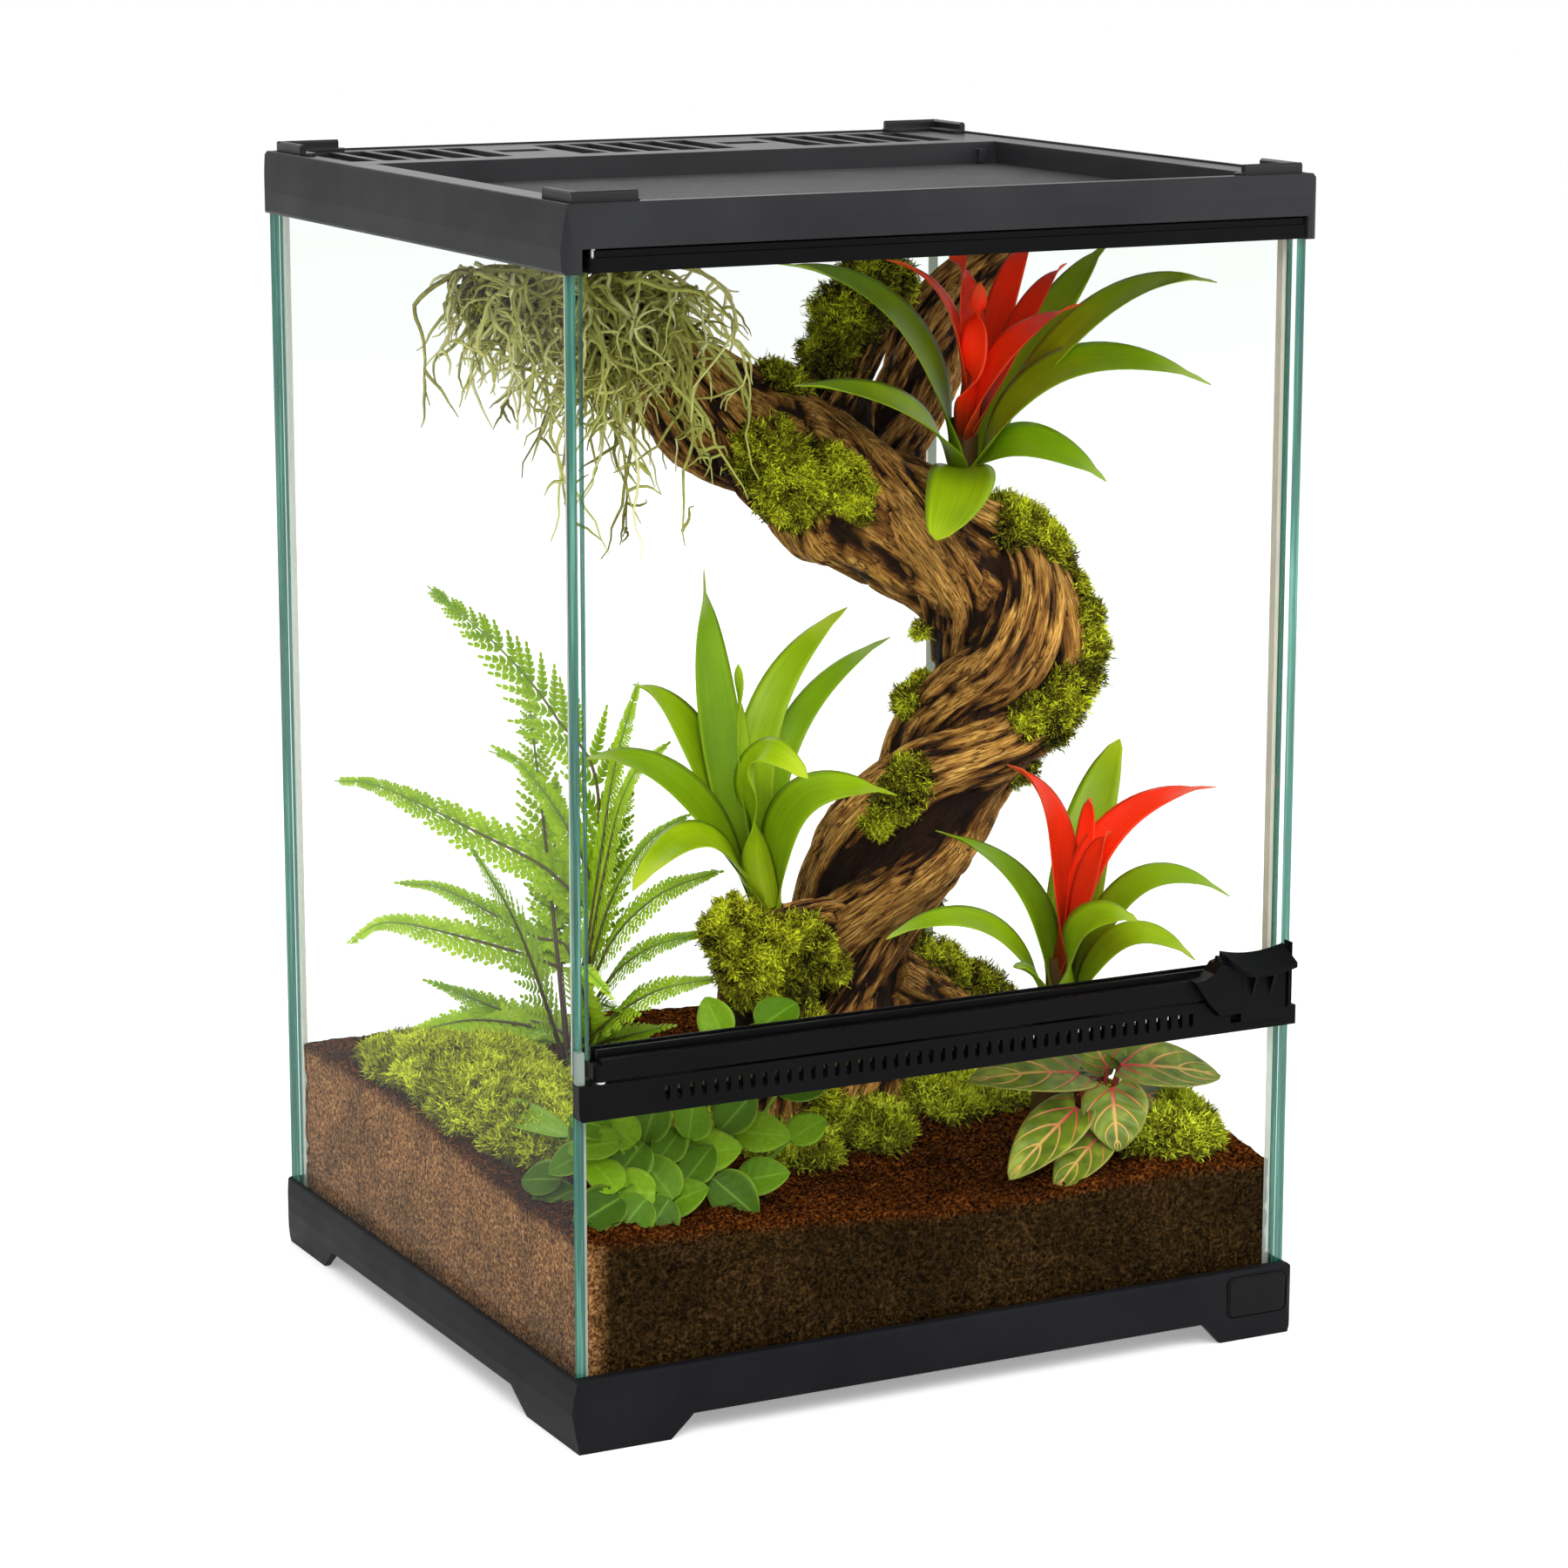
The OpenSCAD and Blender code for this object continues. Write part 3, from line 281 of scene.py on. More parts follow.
print("looks that a finish can set:", ", ".join(LOOKS))

# %% [markdown]
# ## Moulded plastic
#
# Base, top frame, rails and latch are injection-moulded in black. Such parts have softly rounded
# edges, a fine spark-eroded grain and a satin gloss that picks up the white studio. A bevel in
# the shader rounds the edges' light without changing the frame's meshes, a fine noise gives the
# grain, and a slow noise varies the gloss, as handling and release marks do.


# %% Plastics
def moulded(name, colour, gloss, *targets, shine=0.06, edge=0.0007, spread=0.08):
    """Black plastic; edge is the radius of its soft edges, spread how far its gloss wanders."""
    finish = Finish(name)
    tone_mix, fresh = (tuple(share * c for c in colour) for share in (0.82, 1.22))
    tint = finish.ramp(finish.noise(18, 4), [(0.3, tone_mix), (0.7, fresh)])
    wear = finish.span(finish.noise(60, 5), gloss - spread / 2, gloss + spread / 2, 0.3, 0.7)
    rounding = finish.node("Bevel", {"Radius": edge}, samples=4)
    grain = finish.bump(finish.noise(2600, 2), 0.00003, 0.6, Normal=rounding)
    finish.surface(colour=tint, rough=wear, relief=grain, shine=shine)
    finish.dress(*targets)
    return finish


GUIDES = ["corner_guide_" + corner for corner in ("fl", "fr", "bl", "br")]
# The base is the same plastic as the top frame; its darker colour is painted shade.
moulded("base_plastic", (0.009, 0.0093, 0.0105), 0.42, "base_frame", shine=0.04)
moulded("frame_plastic", (0.02, 0.0205, 0.022), 0.4, "top_frame", shine=0.08)
moulded("lid_plastic", (0.018, 0.0185, 0.02), 0.34, "lid_frame", "cable_slider_left", "cable_slider_right",
        shine=0.3)
moulded("trim_plastic", (0.0022, 0.0022, 0.0027), 0.4, "vent_strip", "door_bottom_rail", "door_top_rail",
        "latch_lever", edge=0.0005)
moulded("guide_plastic", (0.008, 0.0082, 0.009), 0.4, *GUIDES, shine=0.3, edge=0.0006)
moulded("badge_plastic", (0.006, 0.006, 0.0065), 0.22, "badge_plate", shine=0.08, edge=0.0006, spread=0.04)
print("plastics:", sum(m.name.endswith("_plastic") for m in bpy.data.materials))

# %% [markdown]
# ## Steel
#
# The hinge pins, the washer, the latch's pin and its spring are drawn wire and turned rod. Fine
# rings along the rod and a little smoke in the gloss are enough at this size.

# %% Steel
steel = Finish("turned_steel")
rings = steel.noise(900, 2, stretch=(0.2, 0.2, 1))
steel.surface(colour=steel.ramp(rings, [(0.3, (0.42, 0.42, 0.43)), (0.7, (0.66, 0.66, 0.67))]),
              rough=steel.span(rings, 0.2, 0.36), metal=1.0)
steel.dress("hinge_pin_top", "hinge_pin_bottom", "hinge_washer", "latch_pin", "latch_spring")
print("steel on the pins, the washer and the spring")

# %% [markdown]
# ## Glass
#
# Float glass looks clear through its face and deep green through its cut edge, because the edge
# looks along the sheet. A clear pane bends almost nothing that is seen through it, so its faces
# are a see-through film with the mirror gleam that glass has at a slant. The cut edges get a
# green, half see-through finish with polish lines. Which of the two shows depends on the
# direction of the face in the pane's own space, so that the door keeps its edges as it swings.


# %% Panes
def pane_glass(name, thin_axis, *targets):
    """Glass for a pane that is thin along X, Y or Z of its own space."""
    finish = Finish(name)
    gleam = finish.node("BsdfGlossy", {"Color": WHITE, "Roughness": 0.02})
    slant = finish.node("LayerWeight", {"Blend": 0.5}, "Facing")
    grazing = finish.sum(slant, 5, "POWER")
    face = finish.between(finish.span(grazing, 0.001, 0.16), finish.film((0.985, 0.996, 0.99)), gleam)
    streaks = finish.noise(700, 3, stretch=(1, 1, 0.02))
    finish.surface(colour=finish.ramp(streaks, [(0.34, (0.003, 0.04, 0.03)), (0.5, (0.012, 0.11, 0.08)),
                                                (0.68, (0.1, 0.3, 0.23))]), rough=0.12)
    edge = finish.film((0.3, 0.62, 0.52), 0.84)
    own_normal = finish.add("TexCoord").outputs["Normal"]
    facing = finish.node("SeparateXYZ", {0: own_normal}, thin_axis)
    is_face = finish.sum(finish.size(facing), 0.5, "GREATER_THAN")
    finish.feed(finish.out, finish.between(is_face, edge, face))
    finish.dress(*targets)
    print(name, "on", *targets)


pane_glass("side_pane", 0, "left_glass", "right_glass")
pane_glass("front_pane", 1, "back_glass", "front_lower_glass", "door_glass")
pane_glass("floor_pane", 2, "bottom_glass")

# %% [markdown]
# ## Sealant, seal strips and hinge block
#
# Clear silicone looks milky where it is thick, the seal strips are a cream vinyl that lets some
# light through, and the small hinge block is grey-green and half clear. All three are a soft
# shader mixed with a see-through one, with a faint ripple from the tool that smoothed them.


# %% Milky finishes
def milky(name, colour, share, *targets):
    """A cloudy plastic; share is how much of it hides what is behind."""
    finish = Finish(name)
    ripple = finish.noise(220, 3, stretch=(1, 1, 0.3))
    finish.surface(colour=finish.ramp(ripple, [(0.35, tuple(c * 0.88 for c in colour)), (0.65, colour)]),
                   rough=0.3, relief=finish.bump(ripple, 0.0001, 0.4))
    finish.feed(finish.out, finish.film(colour, share))
    finish.dress(*targets)
    print(name, "on", *targets)


milky("sealant", (0.72, 0.74, 0.68), 0.45, "silicone_seams")
milky("seal_vinyl", (0.68, 0.63, 0.54), 0.8, "door_stop_left", "door_stop_right")
milky("hinge_resin", (0.3, 0.38, 0.34), 0.7, "hinge_block")

# %% [markdown]
# ## Woven mesh
#
# The lid's screen is a black mesh with a wire every two millimetres. Modelling each gap would cost
# far more than it shows, so long thin wires are laid in two crossing layers, as on a loom. The
# same function makes the finer mesh under the rear windows and the one behind the vent slots.


# %% Mesh of crossing wires
def crossing_wires(low, high, pitch, wire):
    """Points and faces of two layers of square wires that fill a thin box."""
    size = [high[i] - low[i] for i in range(3)]
    thin = size.index(min(size))
    across = [i for i in range(3) if i != thin]
    points, faces = [], []
    for layer, (step_axis, run_axis) in enumerate((across, across[::-1])):
        count = max(2, round(size[step_axis] / pitch))
        depth = size[thin] / 2
        for i in range(count + 1):
            at = low[step_axis] + (size[step_axis] - wire) * i / count
            start, end = [0, 0, 0], [0, 0, 0]
            start[step_axis], end[step_axis] = at, at + wire
            start[run_axis], end[run_axis] = low[run_axis], high[run_axis]
            start[thin] = low[thin] + depth * 0.6 * layer
            end[thin] = start[thin] + depth * 1.3
            first = len(points)
            points += [(x, y, z) for z in (start[2], end[2]) for y in (start[1], end[1])
                       for x in (start[0], end[0])]
            faces += [[first + k for k in side] for side in BOX_SIDES]
    return points, faces


wire_finish = moulded("mesh_coating", (0.03, 0.03, 0.032), 0.34, edge=0.0001, shine=0.6)
BOX_SIDES = ((0, 2, 3, 1), (4, 5, 7, 6), (0, 1, 5, 4), (2, 6, 7, 3), (0, 4, 6, 2), (1, 3, 7, 5))
NETS = {"screen_mesh": ("lid", 2.0, 0.8), "rear_mesh": ("lid", 1.6, 0.42), "vent_mesh": ("tank", 1.0, 0.3)}
for net_name, (net_body, pitch, wire) in NETS.items():
    net_low, net_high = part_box(net_name)
    net_points, net_faces = crossing_wires(net_low, net_high, pitch * MM, wire * MM)
    net = mesh_piece(net_name + "_woven", net_points, net_faces, wire_finish.material, net_body,
                     smooth=False)
    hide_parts(net_name)
    print(net.name, "wires:", len(net_faces) // 6)

# %% [markdown]
# ## Noise and paths for grown things
#
# Bark, soil and moss need irregular surfaces that look the same on every run. A fixed lattice of
# random numbers, smoothed between its points, gives such a noise for whole arrays at once.
# Wood and leaves also need a smooth route through a few chosen places, and two directions across
# the route at each point, so that a section can be swept along it without sudden twists.

# %% Noise on arrays
LATTICE = np.random.default_rng(5).random((40, 40, 40))


def soft_noise(where):
    """Smooth noise from 0 to 1, with one lattice step per unit."""
    whole = np.floor(where).astype(int)
    part = where - whole
    part = part * part * (3 - 2 * part)
    total = np.zeros(where.shape[:-1])
    for corner in np.ndindex(2, 2, 2):
        cell = (whole + corner) % len(LATTICE)
        weight = np.prod(np.where(np.array(corner) == 1, part, 1 - part), axis=-1)
        total += weight * LATTICE[cell[..., 0], cell[..., 1], cell[..., 2]]
    return total


def layered(where, layers=3):
    """Noise from 0 to 1 with finer and fainter layers on top."""
    total = sum(soft_noise(where * 2 ** k + 7.3 * k) / 2 ** k for k in range(layers))
    return total / (2 - 2 ** (1 - layers))


def cracks(where, width, layers=3):
    """1 along thin wandering lines, where the noise crosses its middle, and 0 elsewhere."""
    return np.exp(-((layered(where, layers) - 0.5) / width) ** 2)


print("a noise lattice of", LATTICE.size, "numbers")


# %% Paths
def lengths(vectors):
    """The length of each vector, kept as a column."""
    return np.linalg.norm(vectors, axis=-1, keepdims=True)


def smooth_path(stops, count):
    """Evenly spaced rows on a smooth curve through the stops, and the distance along it."""
    stops = np.asarray(stops, float)
    padded = np.vstack([2 * stops[0] - stops[1], stops, 2 * stops[-1] - stops[-2]])
    rows = []
    for a, b, c, d in zip(padded, padded[1:], padded[2:], padded[3:]):
        for t in np.linspace(0, 1, 24, endpoint=False):
            rows.append(0.5 * (2 * b + (c - a) * t + (2 * a - 5 * b + 4 * c - d) * t ** 2
                               + (3 * b - a - 3 * c + d) * t ** 3))
    rows = np.array(rows + [stops[-1]])
    run = np.concatenate([[0], np.cumsum(lengths(np.diff(rows[:, :3], axis=0))[:, 0])])
    even = np.linspace(0, run[-1], count)
    return np.column_stack([np.interp(even, run, column) for column in rows.T]), even


def across_path(path):
    """Two unit directions across a path at each point, which turn as little as they can."""
    ahead = np.gradient(path, axis=0)
    ahead /= lengths(ahead)
    side = np.cross(ahead[0], (0.1, 1, 0.05))
    sides = []
    for direction in ahead:
        side = side - direction * side.dot(direction)
        side = side / np.linalg.norm(side)
        sides.append(side)
    sides = np.array(sides)
    return sides, np.cross(ahead, sides)


def circle(count):
    """Cosines and sines of evenly spaced angles."""
    angles = np.linspace(0, 2 * math.pi, count, endpoint=False)
    return np.cos(angles), np.sin(angles)


def tube(path, radius, count):
    """Rings of points round a path; radius may differ from ring to ring and round the ring."""
    side, other = across_path(path)
    cosines, sines = circle(count)
    return (path[:, None] + side[:, None] * (radius * cosines)[..., None]
            + other[:, None] * (radius * sines)[..., None])


trial_path, trial_run = smooth_path([(0, 0, 0), (10, 0, 0), (20, 0, 10)], 8)
print("rings of a trial tube:", len(tube(trial_path, 1.0, 6)), "its length:", round(trial_run[-1], 1))

# %% [markdown]
# ## Collecting small parts
#
# A fern has thousands of lobes and a moss cushion thousands of blades. As separate objects they
# would be slow to handle, so the parts of one kind are heaped into one mesh. Each part's points
# are given in the tank's millimetres, and the heap turns them into metres at the end.


# %% A heap of parts
class Heap:
    """Points, faces and point values of many parts, in the tank's millimetres."""

    def __init__(self):
        self.points, self.faces, self.values, self.count = [], [], {}, 0

    def add(self, points, faces, **values):
        points = np.reshape(points, (-1, 3))
        self.points.append(points)
        self.faces += (np.asarray(faces) + self.count).tolist()
        for label, number in values.items():
            self.values.setdefault(label, []).append(np.broadcast_to(np.ravel(number), len(points)))
        self.count += len(points)

    def piece(self, name, finish, slot, *stands_for, smooth=True):
        points = np.vstack(self.points) * MM + (0, TANK_Y, 0)
        values = {label: np.concatenate(parts) for label, parts in self.values.items()}
        made = mesh_piece(name, points, self.faces, finish.material, values=values, smooth=smooth)
        if stands_for:
            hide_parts(*stands_for)
        print(name, "points:", self.count, "faces:", len(self.faces))


def ring_faces(rows, columns):
    """Quads between neighbouring rings of points."""
    i, j = np.meshgrid(np.arange(rows - 1), np.arange(columns), indexing="ij")
    a = i * columns + j
    b = i * columns + (j + 1) % columns
    return np.stack([a, b, b + columns, a + columns], -1).reshape(-1, 4)


def grid_faces(rows, columns):
    """Quads of an open grid of points."""
    i, j = np.meshgrid(np.arange(rows - 1), np.arange(columns - 1), indexing="ij")
    a = i * columns + j
    return np.stack([a, a + 1, a + columns + 1, a + columns], -1).reshape(-1, 4)


# %% [markdown]
# ## Soil
#
# The tank holds a bed of coir and bark, deeper at the back and hollowed in front of the wood.
# Behind the glass it shows a cut face of fine crumbs and fibres. The bed is a closed skin whose
# top is lifted by noise and whose sides are pitted inwards, so that nothing touches the panes.
# Loose crumbs and fibres lie on top, because a noise alone never looks loose.

# %% The soil's surface
SOIL_X, SOIL_FRONT, SOIL_BACK, SOIL_FLOOR = 151.8, -139.3, 142.3, 20.2


def bump_at(x, y, middle_x, middle_y, spread):
    """A round rise of height 1."""
    return np.exp(-((x - middle_x) ** 2 + (y - middle_y) ** 2) / spread ** 2)


def soil_height(x, y):
    """The soil's level in millimetres, before its crumbs."""
    return (74 + 10 * (y + 145) / 290 - 5 * x / 150 - 10 * bump_at(x, y, 10, -80, 55)
            + 7 * bump_at(x, y, 125, -95, 40) + 8 * bump_at(x, y, -110, 40, 60)
            + 16 * bump_at(x, y, 20, 0, 48))


def soil_crumble(x, y):
    """How far the crumbs lift the surface."""
    place = np.stack([x, y, np.zeros_like(x)], -1)
    return 5 * (layered(place / 22, 2) - 0.5) + 4.2 * (layered(place / 4.2 + 3, 3) - 0.5)


print("soil level in the middle of the tank, mm:", round(float(soil_height(0, 0)), 1))

# %% The soil's mesh
soil = Heap()
soil_u = np.linspace(-SOIL_X, SOIL_X, 254)
soil_v = np.linspace(SOIL_FRONT, SOIL_BACK, 236)
top_x, top_y = np.meshgrid(soil_u, soil_v, indexing="ij")
to_front_or_back = np.minimum(top_y - SOIL_FRONT, SOIL_BACK - top_y)
rim = np.minimum(1, np.minimum(SOIL_X - abs(top_x), to_front_or_back) / 3)
top_z = soil_height(top_x, top_y) + soil_crumble(top_x, top_y) * (0.45 + 0.55 * rim)
soil.add(np.stack([top_x, top_y, top_z], -1), grid_faces(*top_x.shape), top=1.0, dry=0.0)

edge_x, edge_y, edge_z = (np.concatenate([top[:, 0], top[-1, 1:], top[-2::-1, -1], top[0, -2::-1]])
                          for top in (top_x, top_y, top_z))
down = np.linspace(0, 1, 42)[:, None]
wall = np.stack([edge_x + 0 * down, edge_y + 0 * down, edge_z + (SOIL_FLOOR - edge_z) * down], -1)
pits = 2.6 * np.clip(layered(wall / 3.4, 3) - 0.38, 0, 1) * np.minimum(1, 6 * down * (1 - down) + 0.02)
inward = -wall[..., :2] / (SOIL_X, (SOIL_BACK - SOIL_FRONT) / 2)
wall[..., :2] += np.where(abs(inward) > 0.985, np.sign(inward), 0) * pits[..., None]
# Painted light: the left wall's cut face gets a much lighter copy of the coir, strongest near its top.
left_wall_light_share = np.clip((-140 - wall[..., 0]) / 8, 0, 1) * (1 - 0.35 * down)
soil.add(wall, ring_faces(len(down), len(edge_x))[:, ::-1], dry=left_wall_light_share,
         top=np.broadcast_to(1 - down * 12, wall.shape[:2]).clip(0))
print("points of the soil's skin:", soil.count)


# %% Crumbs
def crumbs(heap, middles, sizes, chance):
    """Small uneven lumps with six corners."""
    corners = np.vstack([np.eye(3), -np.eye(3)])[[0, 1, 3, 4, 2, 5]]
    lumps = np.array([(0, 1, 4), (1, 2, 4), (2, 3, 4), (3, 0, 4), (1, 0, 5), (2, 1, 5), (3, 2, 5), (0, 3, 5)])
    spin = chance.random((len(middles), 3, 3)) - 0.5
    points = middles[:, None] + sizes[:, None, None] * (corners @ (spin + np.eye(3) * 0.6))
    faces = lumps[None] + 6 * np.arange(len(middles))[:, None, None]
    heap.add(points, faces.reshape(-1, 3), top=np.repeat(0.7 + 0.6 * chance.random(len(middles)), 6), dry=0.0)


def scattered(count, margin, lift, chance):
    """Places on the crumbled soil, at least a margin away from the panes."""
    x = chance.uniform(-SOIL_X + margin, SOIL_X - margin, count)
    y = chance.uniform(SOIL_FRONT + margin, SOIL_BACK - margin, count)
    return np.stack([x, y, soil_height(x, y) + soil_crumble(x, y) + lift], -1)


chance = np.random.default_rng(11)
CRUMBS, FIBRES = 9000, 2600
crumbs(soil, scattered(CRUMBS, 2.5, 0.3, chance), 0.5 + 1.5 * chance.random(CRUMBS) ** 3, chance)
print("points of the soil with its crumbs:", soil.count)


# %% Thin strands
def thin_strands(heap, roots, headings, span, radius, curl, steps, chance, fall=0.0, room=None, **values):
    """Three-sided threads that start at roots and wander; fall bends them down, room holds them in."""
    count = len(roots)
    step = np.broadcast_to(np.asarray(span, float) / steps, count)[:, None]
    centres, heading, where = [roots], headings.copy(), roots.copy()
    for k in range(steps):
        heading = heading + curl * (chance.random((count, 3)) - 0.5) + (0, 0, -fall)
        heading /= lengths(heading)
        where = where + heading * step
        if room is not None:
            where = np.clip(where, room[0], room[1])
        centres.append(where)
    centres = np.stack(centres, 1)
    ahead = np.gradient(centres, axis=1)
    ahead /= lengths(ahead)
    side = np.cross(ahead, (0.3, 0.9, 0.31))
    side /= lengths(side)
    other = np.cross(ahead, side)
    t = np.linspace(0, 1, steps + 1)
    thick = np.broadcast_to(radius, count)[:, None, None] * (1 - 0.75 * t ** 2)[None, :, None]
    points = np.stack([centres + thick * (c * side + s * other) for c, s in zip(*circle(3))], 2)
    faces = ring_faces(steps + 1, 3)[None] + 3 * (steps + 1) * np.arange(count)[:, None, None]
    spread = {k: np.repeat(v, 3 * (steps + 1)) for k, v in values.items()}
    along = np.broadcast_to(t[None, :, None], points.shape[:3])
    heap.add(points, faces.reshape(-1, 4), along=along, **spread)
    return centres


fibre_places = scattered(FIBRES, 8, 0.6, chance)
heading = np.stack([chance.normal(size=FIBRES), chance.normal(size=FIBRES), np.zeros(FIBRES)], -1)
thin_strands(soil, fibre_places, heading / lengths(heading), chance.uniform(3, 8, FIBRES),
             0.22, 0.5, 3, chance, top=np.full(FIBRES, 1.2), dry=np.zeros(FIBRES))
soil.values.pop("along")  # only the fibres carry it, and the soil's finish doesn't read it
print("points of the soil with its fibres:", soil.count)

# %% Coir
coir = Finish("coir_soil")
grain = coir.sum(coir.scaled(coir.noise(760, 4, 0.7), 0.72), coir.scaled(coir.noise(430, 3, 0.6), 0.28))
# Painted light: the top with its crumbs and fibres takes a lit copy of the coir's colours, lighter than the
# cut face behind the panes, and the left wall an even lighter painted copy.
cut = coir.ramp(grain, [(0.4, (0.004, 0.0018, 0.0006)), (0.5, (0.015, 0.0075, 0.002)),
                        (0.61, (0.06, 0.03, 0.009))], "LINEAR")
dry = coir.ramp(grain, [(0.4, (0.035, 0.012, 0.004)), (0.5, (0.23, 0.1, 0.033)),
                        (0.6, (0.56, 0.29, 0.11))], "LINEAR")
lit = coir.ramp(grain, [(0.42, (0.006, 0.0015, 0.0002)), (0.52, (0.048, 0.011, 0.0012)),
                        (0.62, (0.27, 0.075, 0.011))], "LINEAR")
ground = coir.blend(coir.span(coir.value("top"), 0, 1), coir.blend(coir.value("dry"), cut, dry), lit)
ground = coir.times(ground, coir.noise(40, 3), [(0.35, (0.7, 0.7, 0.7)), (0.65, (1.12, 1.1, 1.1))])
coir.surface(colour=ground, rough=0.95, shine=0.0, relief=coir.bump(grain, 0.0007, 0.9))
soil.piece("soil_bed", coir, "soil", "substrate", smooth=False)

# %% [markdown]
# ## Driftwood
#
# The wood is the tank's main feature: a weathered vine that climbs from a flared foot, swings out
# to the right, turns back over itself and runs out to the upper left, with a fork to the top. A
# spur, a side arm, a stump and a root leave it on the way. Its look comes from strands that wind
# round each other like a loose rope, with deep gaps between them whose shade is painted into the
# colour. Each strand is swept along the route at a slowly turning offset. Long wandering cracks
# are pressed into its skin, and their depth is stored, so that the finish can paint shade into
# them.

# %% Routes of the wood
WOOD_MAIN = [  # a place on the route and the wood's radius there
    (20, -6, 66, 38), (22, -6, 94, 36), (27, -8, 124, 31), (34, -10, 153, 30), (46, -14, 182, 30),
    (64, -20, 211, 28), (84, -24, 239, 30), (94, -25, 264, 34), (84, -20, 294, 31), (55, -10, 314, 30),
    (25, 2, 334, 30), (-3, 10, 353, 28), (-30, 12, 372, 24), (-54, 12, 392, 21), (-82, 10, 404, 17),
    (-108, 10, 411, 12), (-130, 14, 417, 7),
]
WOOD_FORK = [
    (46, 2, 308, 20), (56, 10, 320, 20), (62, 18, 334, 19), (74, 28, 352, 17), (86, 38, 371, 16),
    (100, 46, 391, 15), (116, 50, 409, 14), (130, 50, 422, 12),
]
WOOD_SPUR = [
    (26, 4, 336, 18), (34, 10, 350, 18), (46, 20, 376, 16), (58, 28, 398, 14), (72, 36, 418, 11),
]
WOOD_ARM = [
    (36, -10, 148, 22), (10, -20, 152, 19), (-14, -32, 153, 18), (-34, -40, 158, 13), (-46, -44, 168, 7),
]
WOOD_STUMP = [
    (-12, -24, 66, 25), (-14, -26, 84, 24), (-18, -28, 112, 23), (-20, -30, 136, 19), (-20, -30, 150, 14),
]
WOOD_ROOT = [
    (40, -6, 124, 24), (62, 0, 120, 19), (84, 2, 110, 15), (106, 4, 98, 12), (120, 4, 84, 8),
]


print("places on the main route:", len(WOOD_MAIN))


# %% Winding strands
def winding_strand(heap, route, turn, pitch, offset, thickness, seed, around=54, step=1.7):
    """One strand of the rope, swept round a route whose rows end in a radius."""
    total = sum(math.dist(a[:3], b[:3]) for a, b in zip(route, route[1:]))
    rows, run = smooth_path(route, max(12, int(total / step)))
    side, other = across_path(rows[:, :3])
    reach = rows[:, 3]
    slow = soft_noise(np.stack([run / 70, np.full_like(run, seed), 0 * run], -1)) - 0.5
    angle = turn + 2 * math.pi * run / pitch + 2.2 * slow
    drift = (offset + 0.12 * slow) * reach
    centre = rows[:, :3] + side * (drift * np.cos(angle))[:, None] + other * (drift * np.sin(angle))[:, None]
    cosines, sines = circle(around)
    slow_swell = soft_noise(np.stack([run / 45, 0 * run, np.full_like(run, seed + 9)], -1)) - 0.5
    swell = thickness * (1 + 0.35 * slow_swell)
    radius = (reach * swell)[:, None] * np.ones(around)
    grain = np.stack([run[:, None] / 46 + 0 * cosines, 1.5 * cosines + seed * 3 + 0 * radius,
                      1.5 * sines + seed * 5 + run[:, None] / 160], -1)
    lobes = layered(grain * (0.6, 1, 1), 2) - 0.5
    deep = cracks(grain * (1, 1.3, 1.3), 0.045)
    fine = cracks(grain * (1.6, 3.6, 3.6) + 20, 0.07)
    hair = layered(grain * (2.6, 9, 9) + 40, 2) - 0.5
    skin = radius * (1 + 0.5 * lobes) - 2.4 * deep - 1.0 * fine + 0.9 * hair
    points = tube(centre, np.maximum(skin, 0.25 * radius), around)
    # Painted shade: the value stored below is high in the cracks and where a point sinks between the strands,
    # so the finish darkens them, and lower on raised lobes, which it paints a little lighter.
    away = np.linalg.norm(points - rows[:, None, :3], axis=-1) / reach[:, None]
    gap_shade = np.clip((0.93 - away) * 3.4, 0, 1)
    cavity = np.clip(0.85 * deep + 0.5 * fine + gap_shade - 0.25 * lobes, 0, 1)
    heap.add(points, ring_faces(len(run), around), cavity=cavity, run=np.repeat(run, around),
             turn_x=np.tile(cosines, len(run)), turn_y=np.tile(sines, len(run)))
    for end, order in ((0, -1), (len(run) - 1, 1)):
        heap.faces.append((heap.count - len(run) * around + end * around
                           + np.arange(around)[::order]).tolist())


wood = Heap()
for k in range(6):
    winding_strand(wood, WOOD_MAIN, k * 2 * math.pi / 6, 260, 0.59, 0.41, k + 1)
winding_strand(wood, WOOD_MAIN, 0.7, 300, 0.12, 0.72, 8, around=40, step=2.5)
for route, pitch, seed in ((WOOD_FORK, 210, 11), (WOOD_SPUR, 190, 41), (WOOD_ARM, 200, 51),
                           (WOOD_STUMP, 190, 31), (WOOD_ROOT, 160, 21)):
    for k in range(3):
        winding_strand(wood, route, k * 2 * math.pi / 3, pitch, 0.46, 0.58, k + seed, around=44)
print("points of the strands:", wood.count)

# %% Bark
bark = Finish("weathered_wood")
lengthwise = bark.point(bark.scaled(bark.value("run"), 0.009), bark.value("turn_x"), bark.value("turn_y"))
fibre = bark.noise(22, 5, 0.65, lengthwise)
split = bark.sum(bark.noise(9, 3, 0.55, lengthwise, twist=0.3), 0.5, "SUBTRACT")
hairline = bark.span(bark.size(split), 0, 1, 0.0, 0.03)
tone_mix = bark.ramp(fibre, [(0.3, (0.1, 0.038, 0.006)), (0.43, (0.34, 0.155, 0.028)),
                         (0.56, (0.6, 0.32, 0.075)), (0.7, (0.95, 0.64, 0.22))])
# Painted shade in the hairline cracks: the colour darkens along the thin lines that the relief presses in.
tone_mix = bark.times(tone_mix, hairline, [(0.0, (0.16, 0.1, 0.05)), (0.9, (1, 1, 1))])
tone_mix = bark.times(tone_mix, bark.noise(28, 3), [(0.3, (0.62, 0.56, 0.5)), (0.7, (1.15, 1.12, 1.05))])
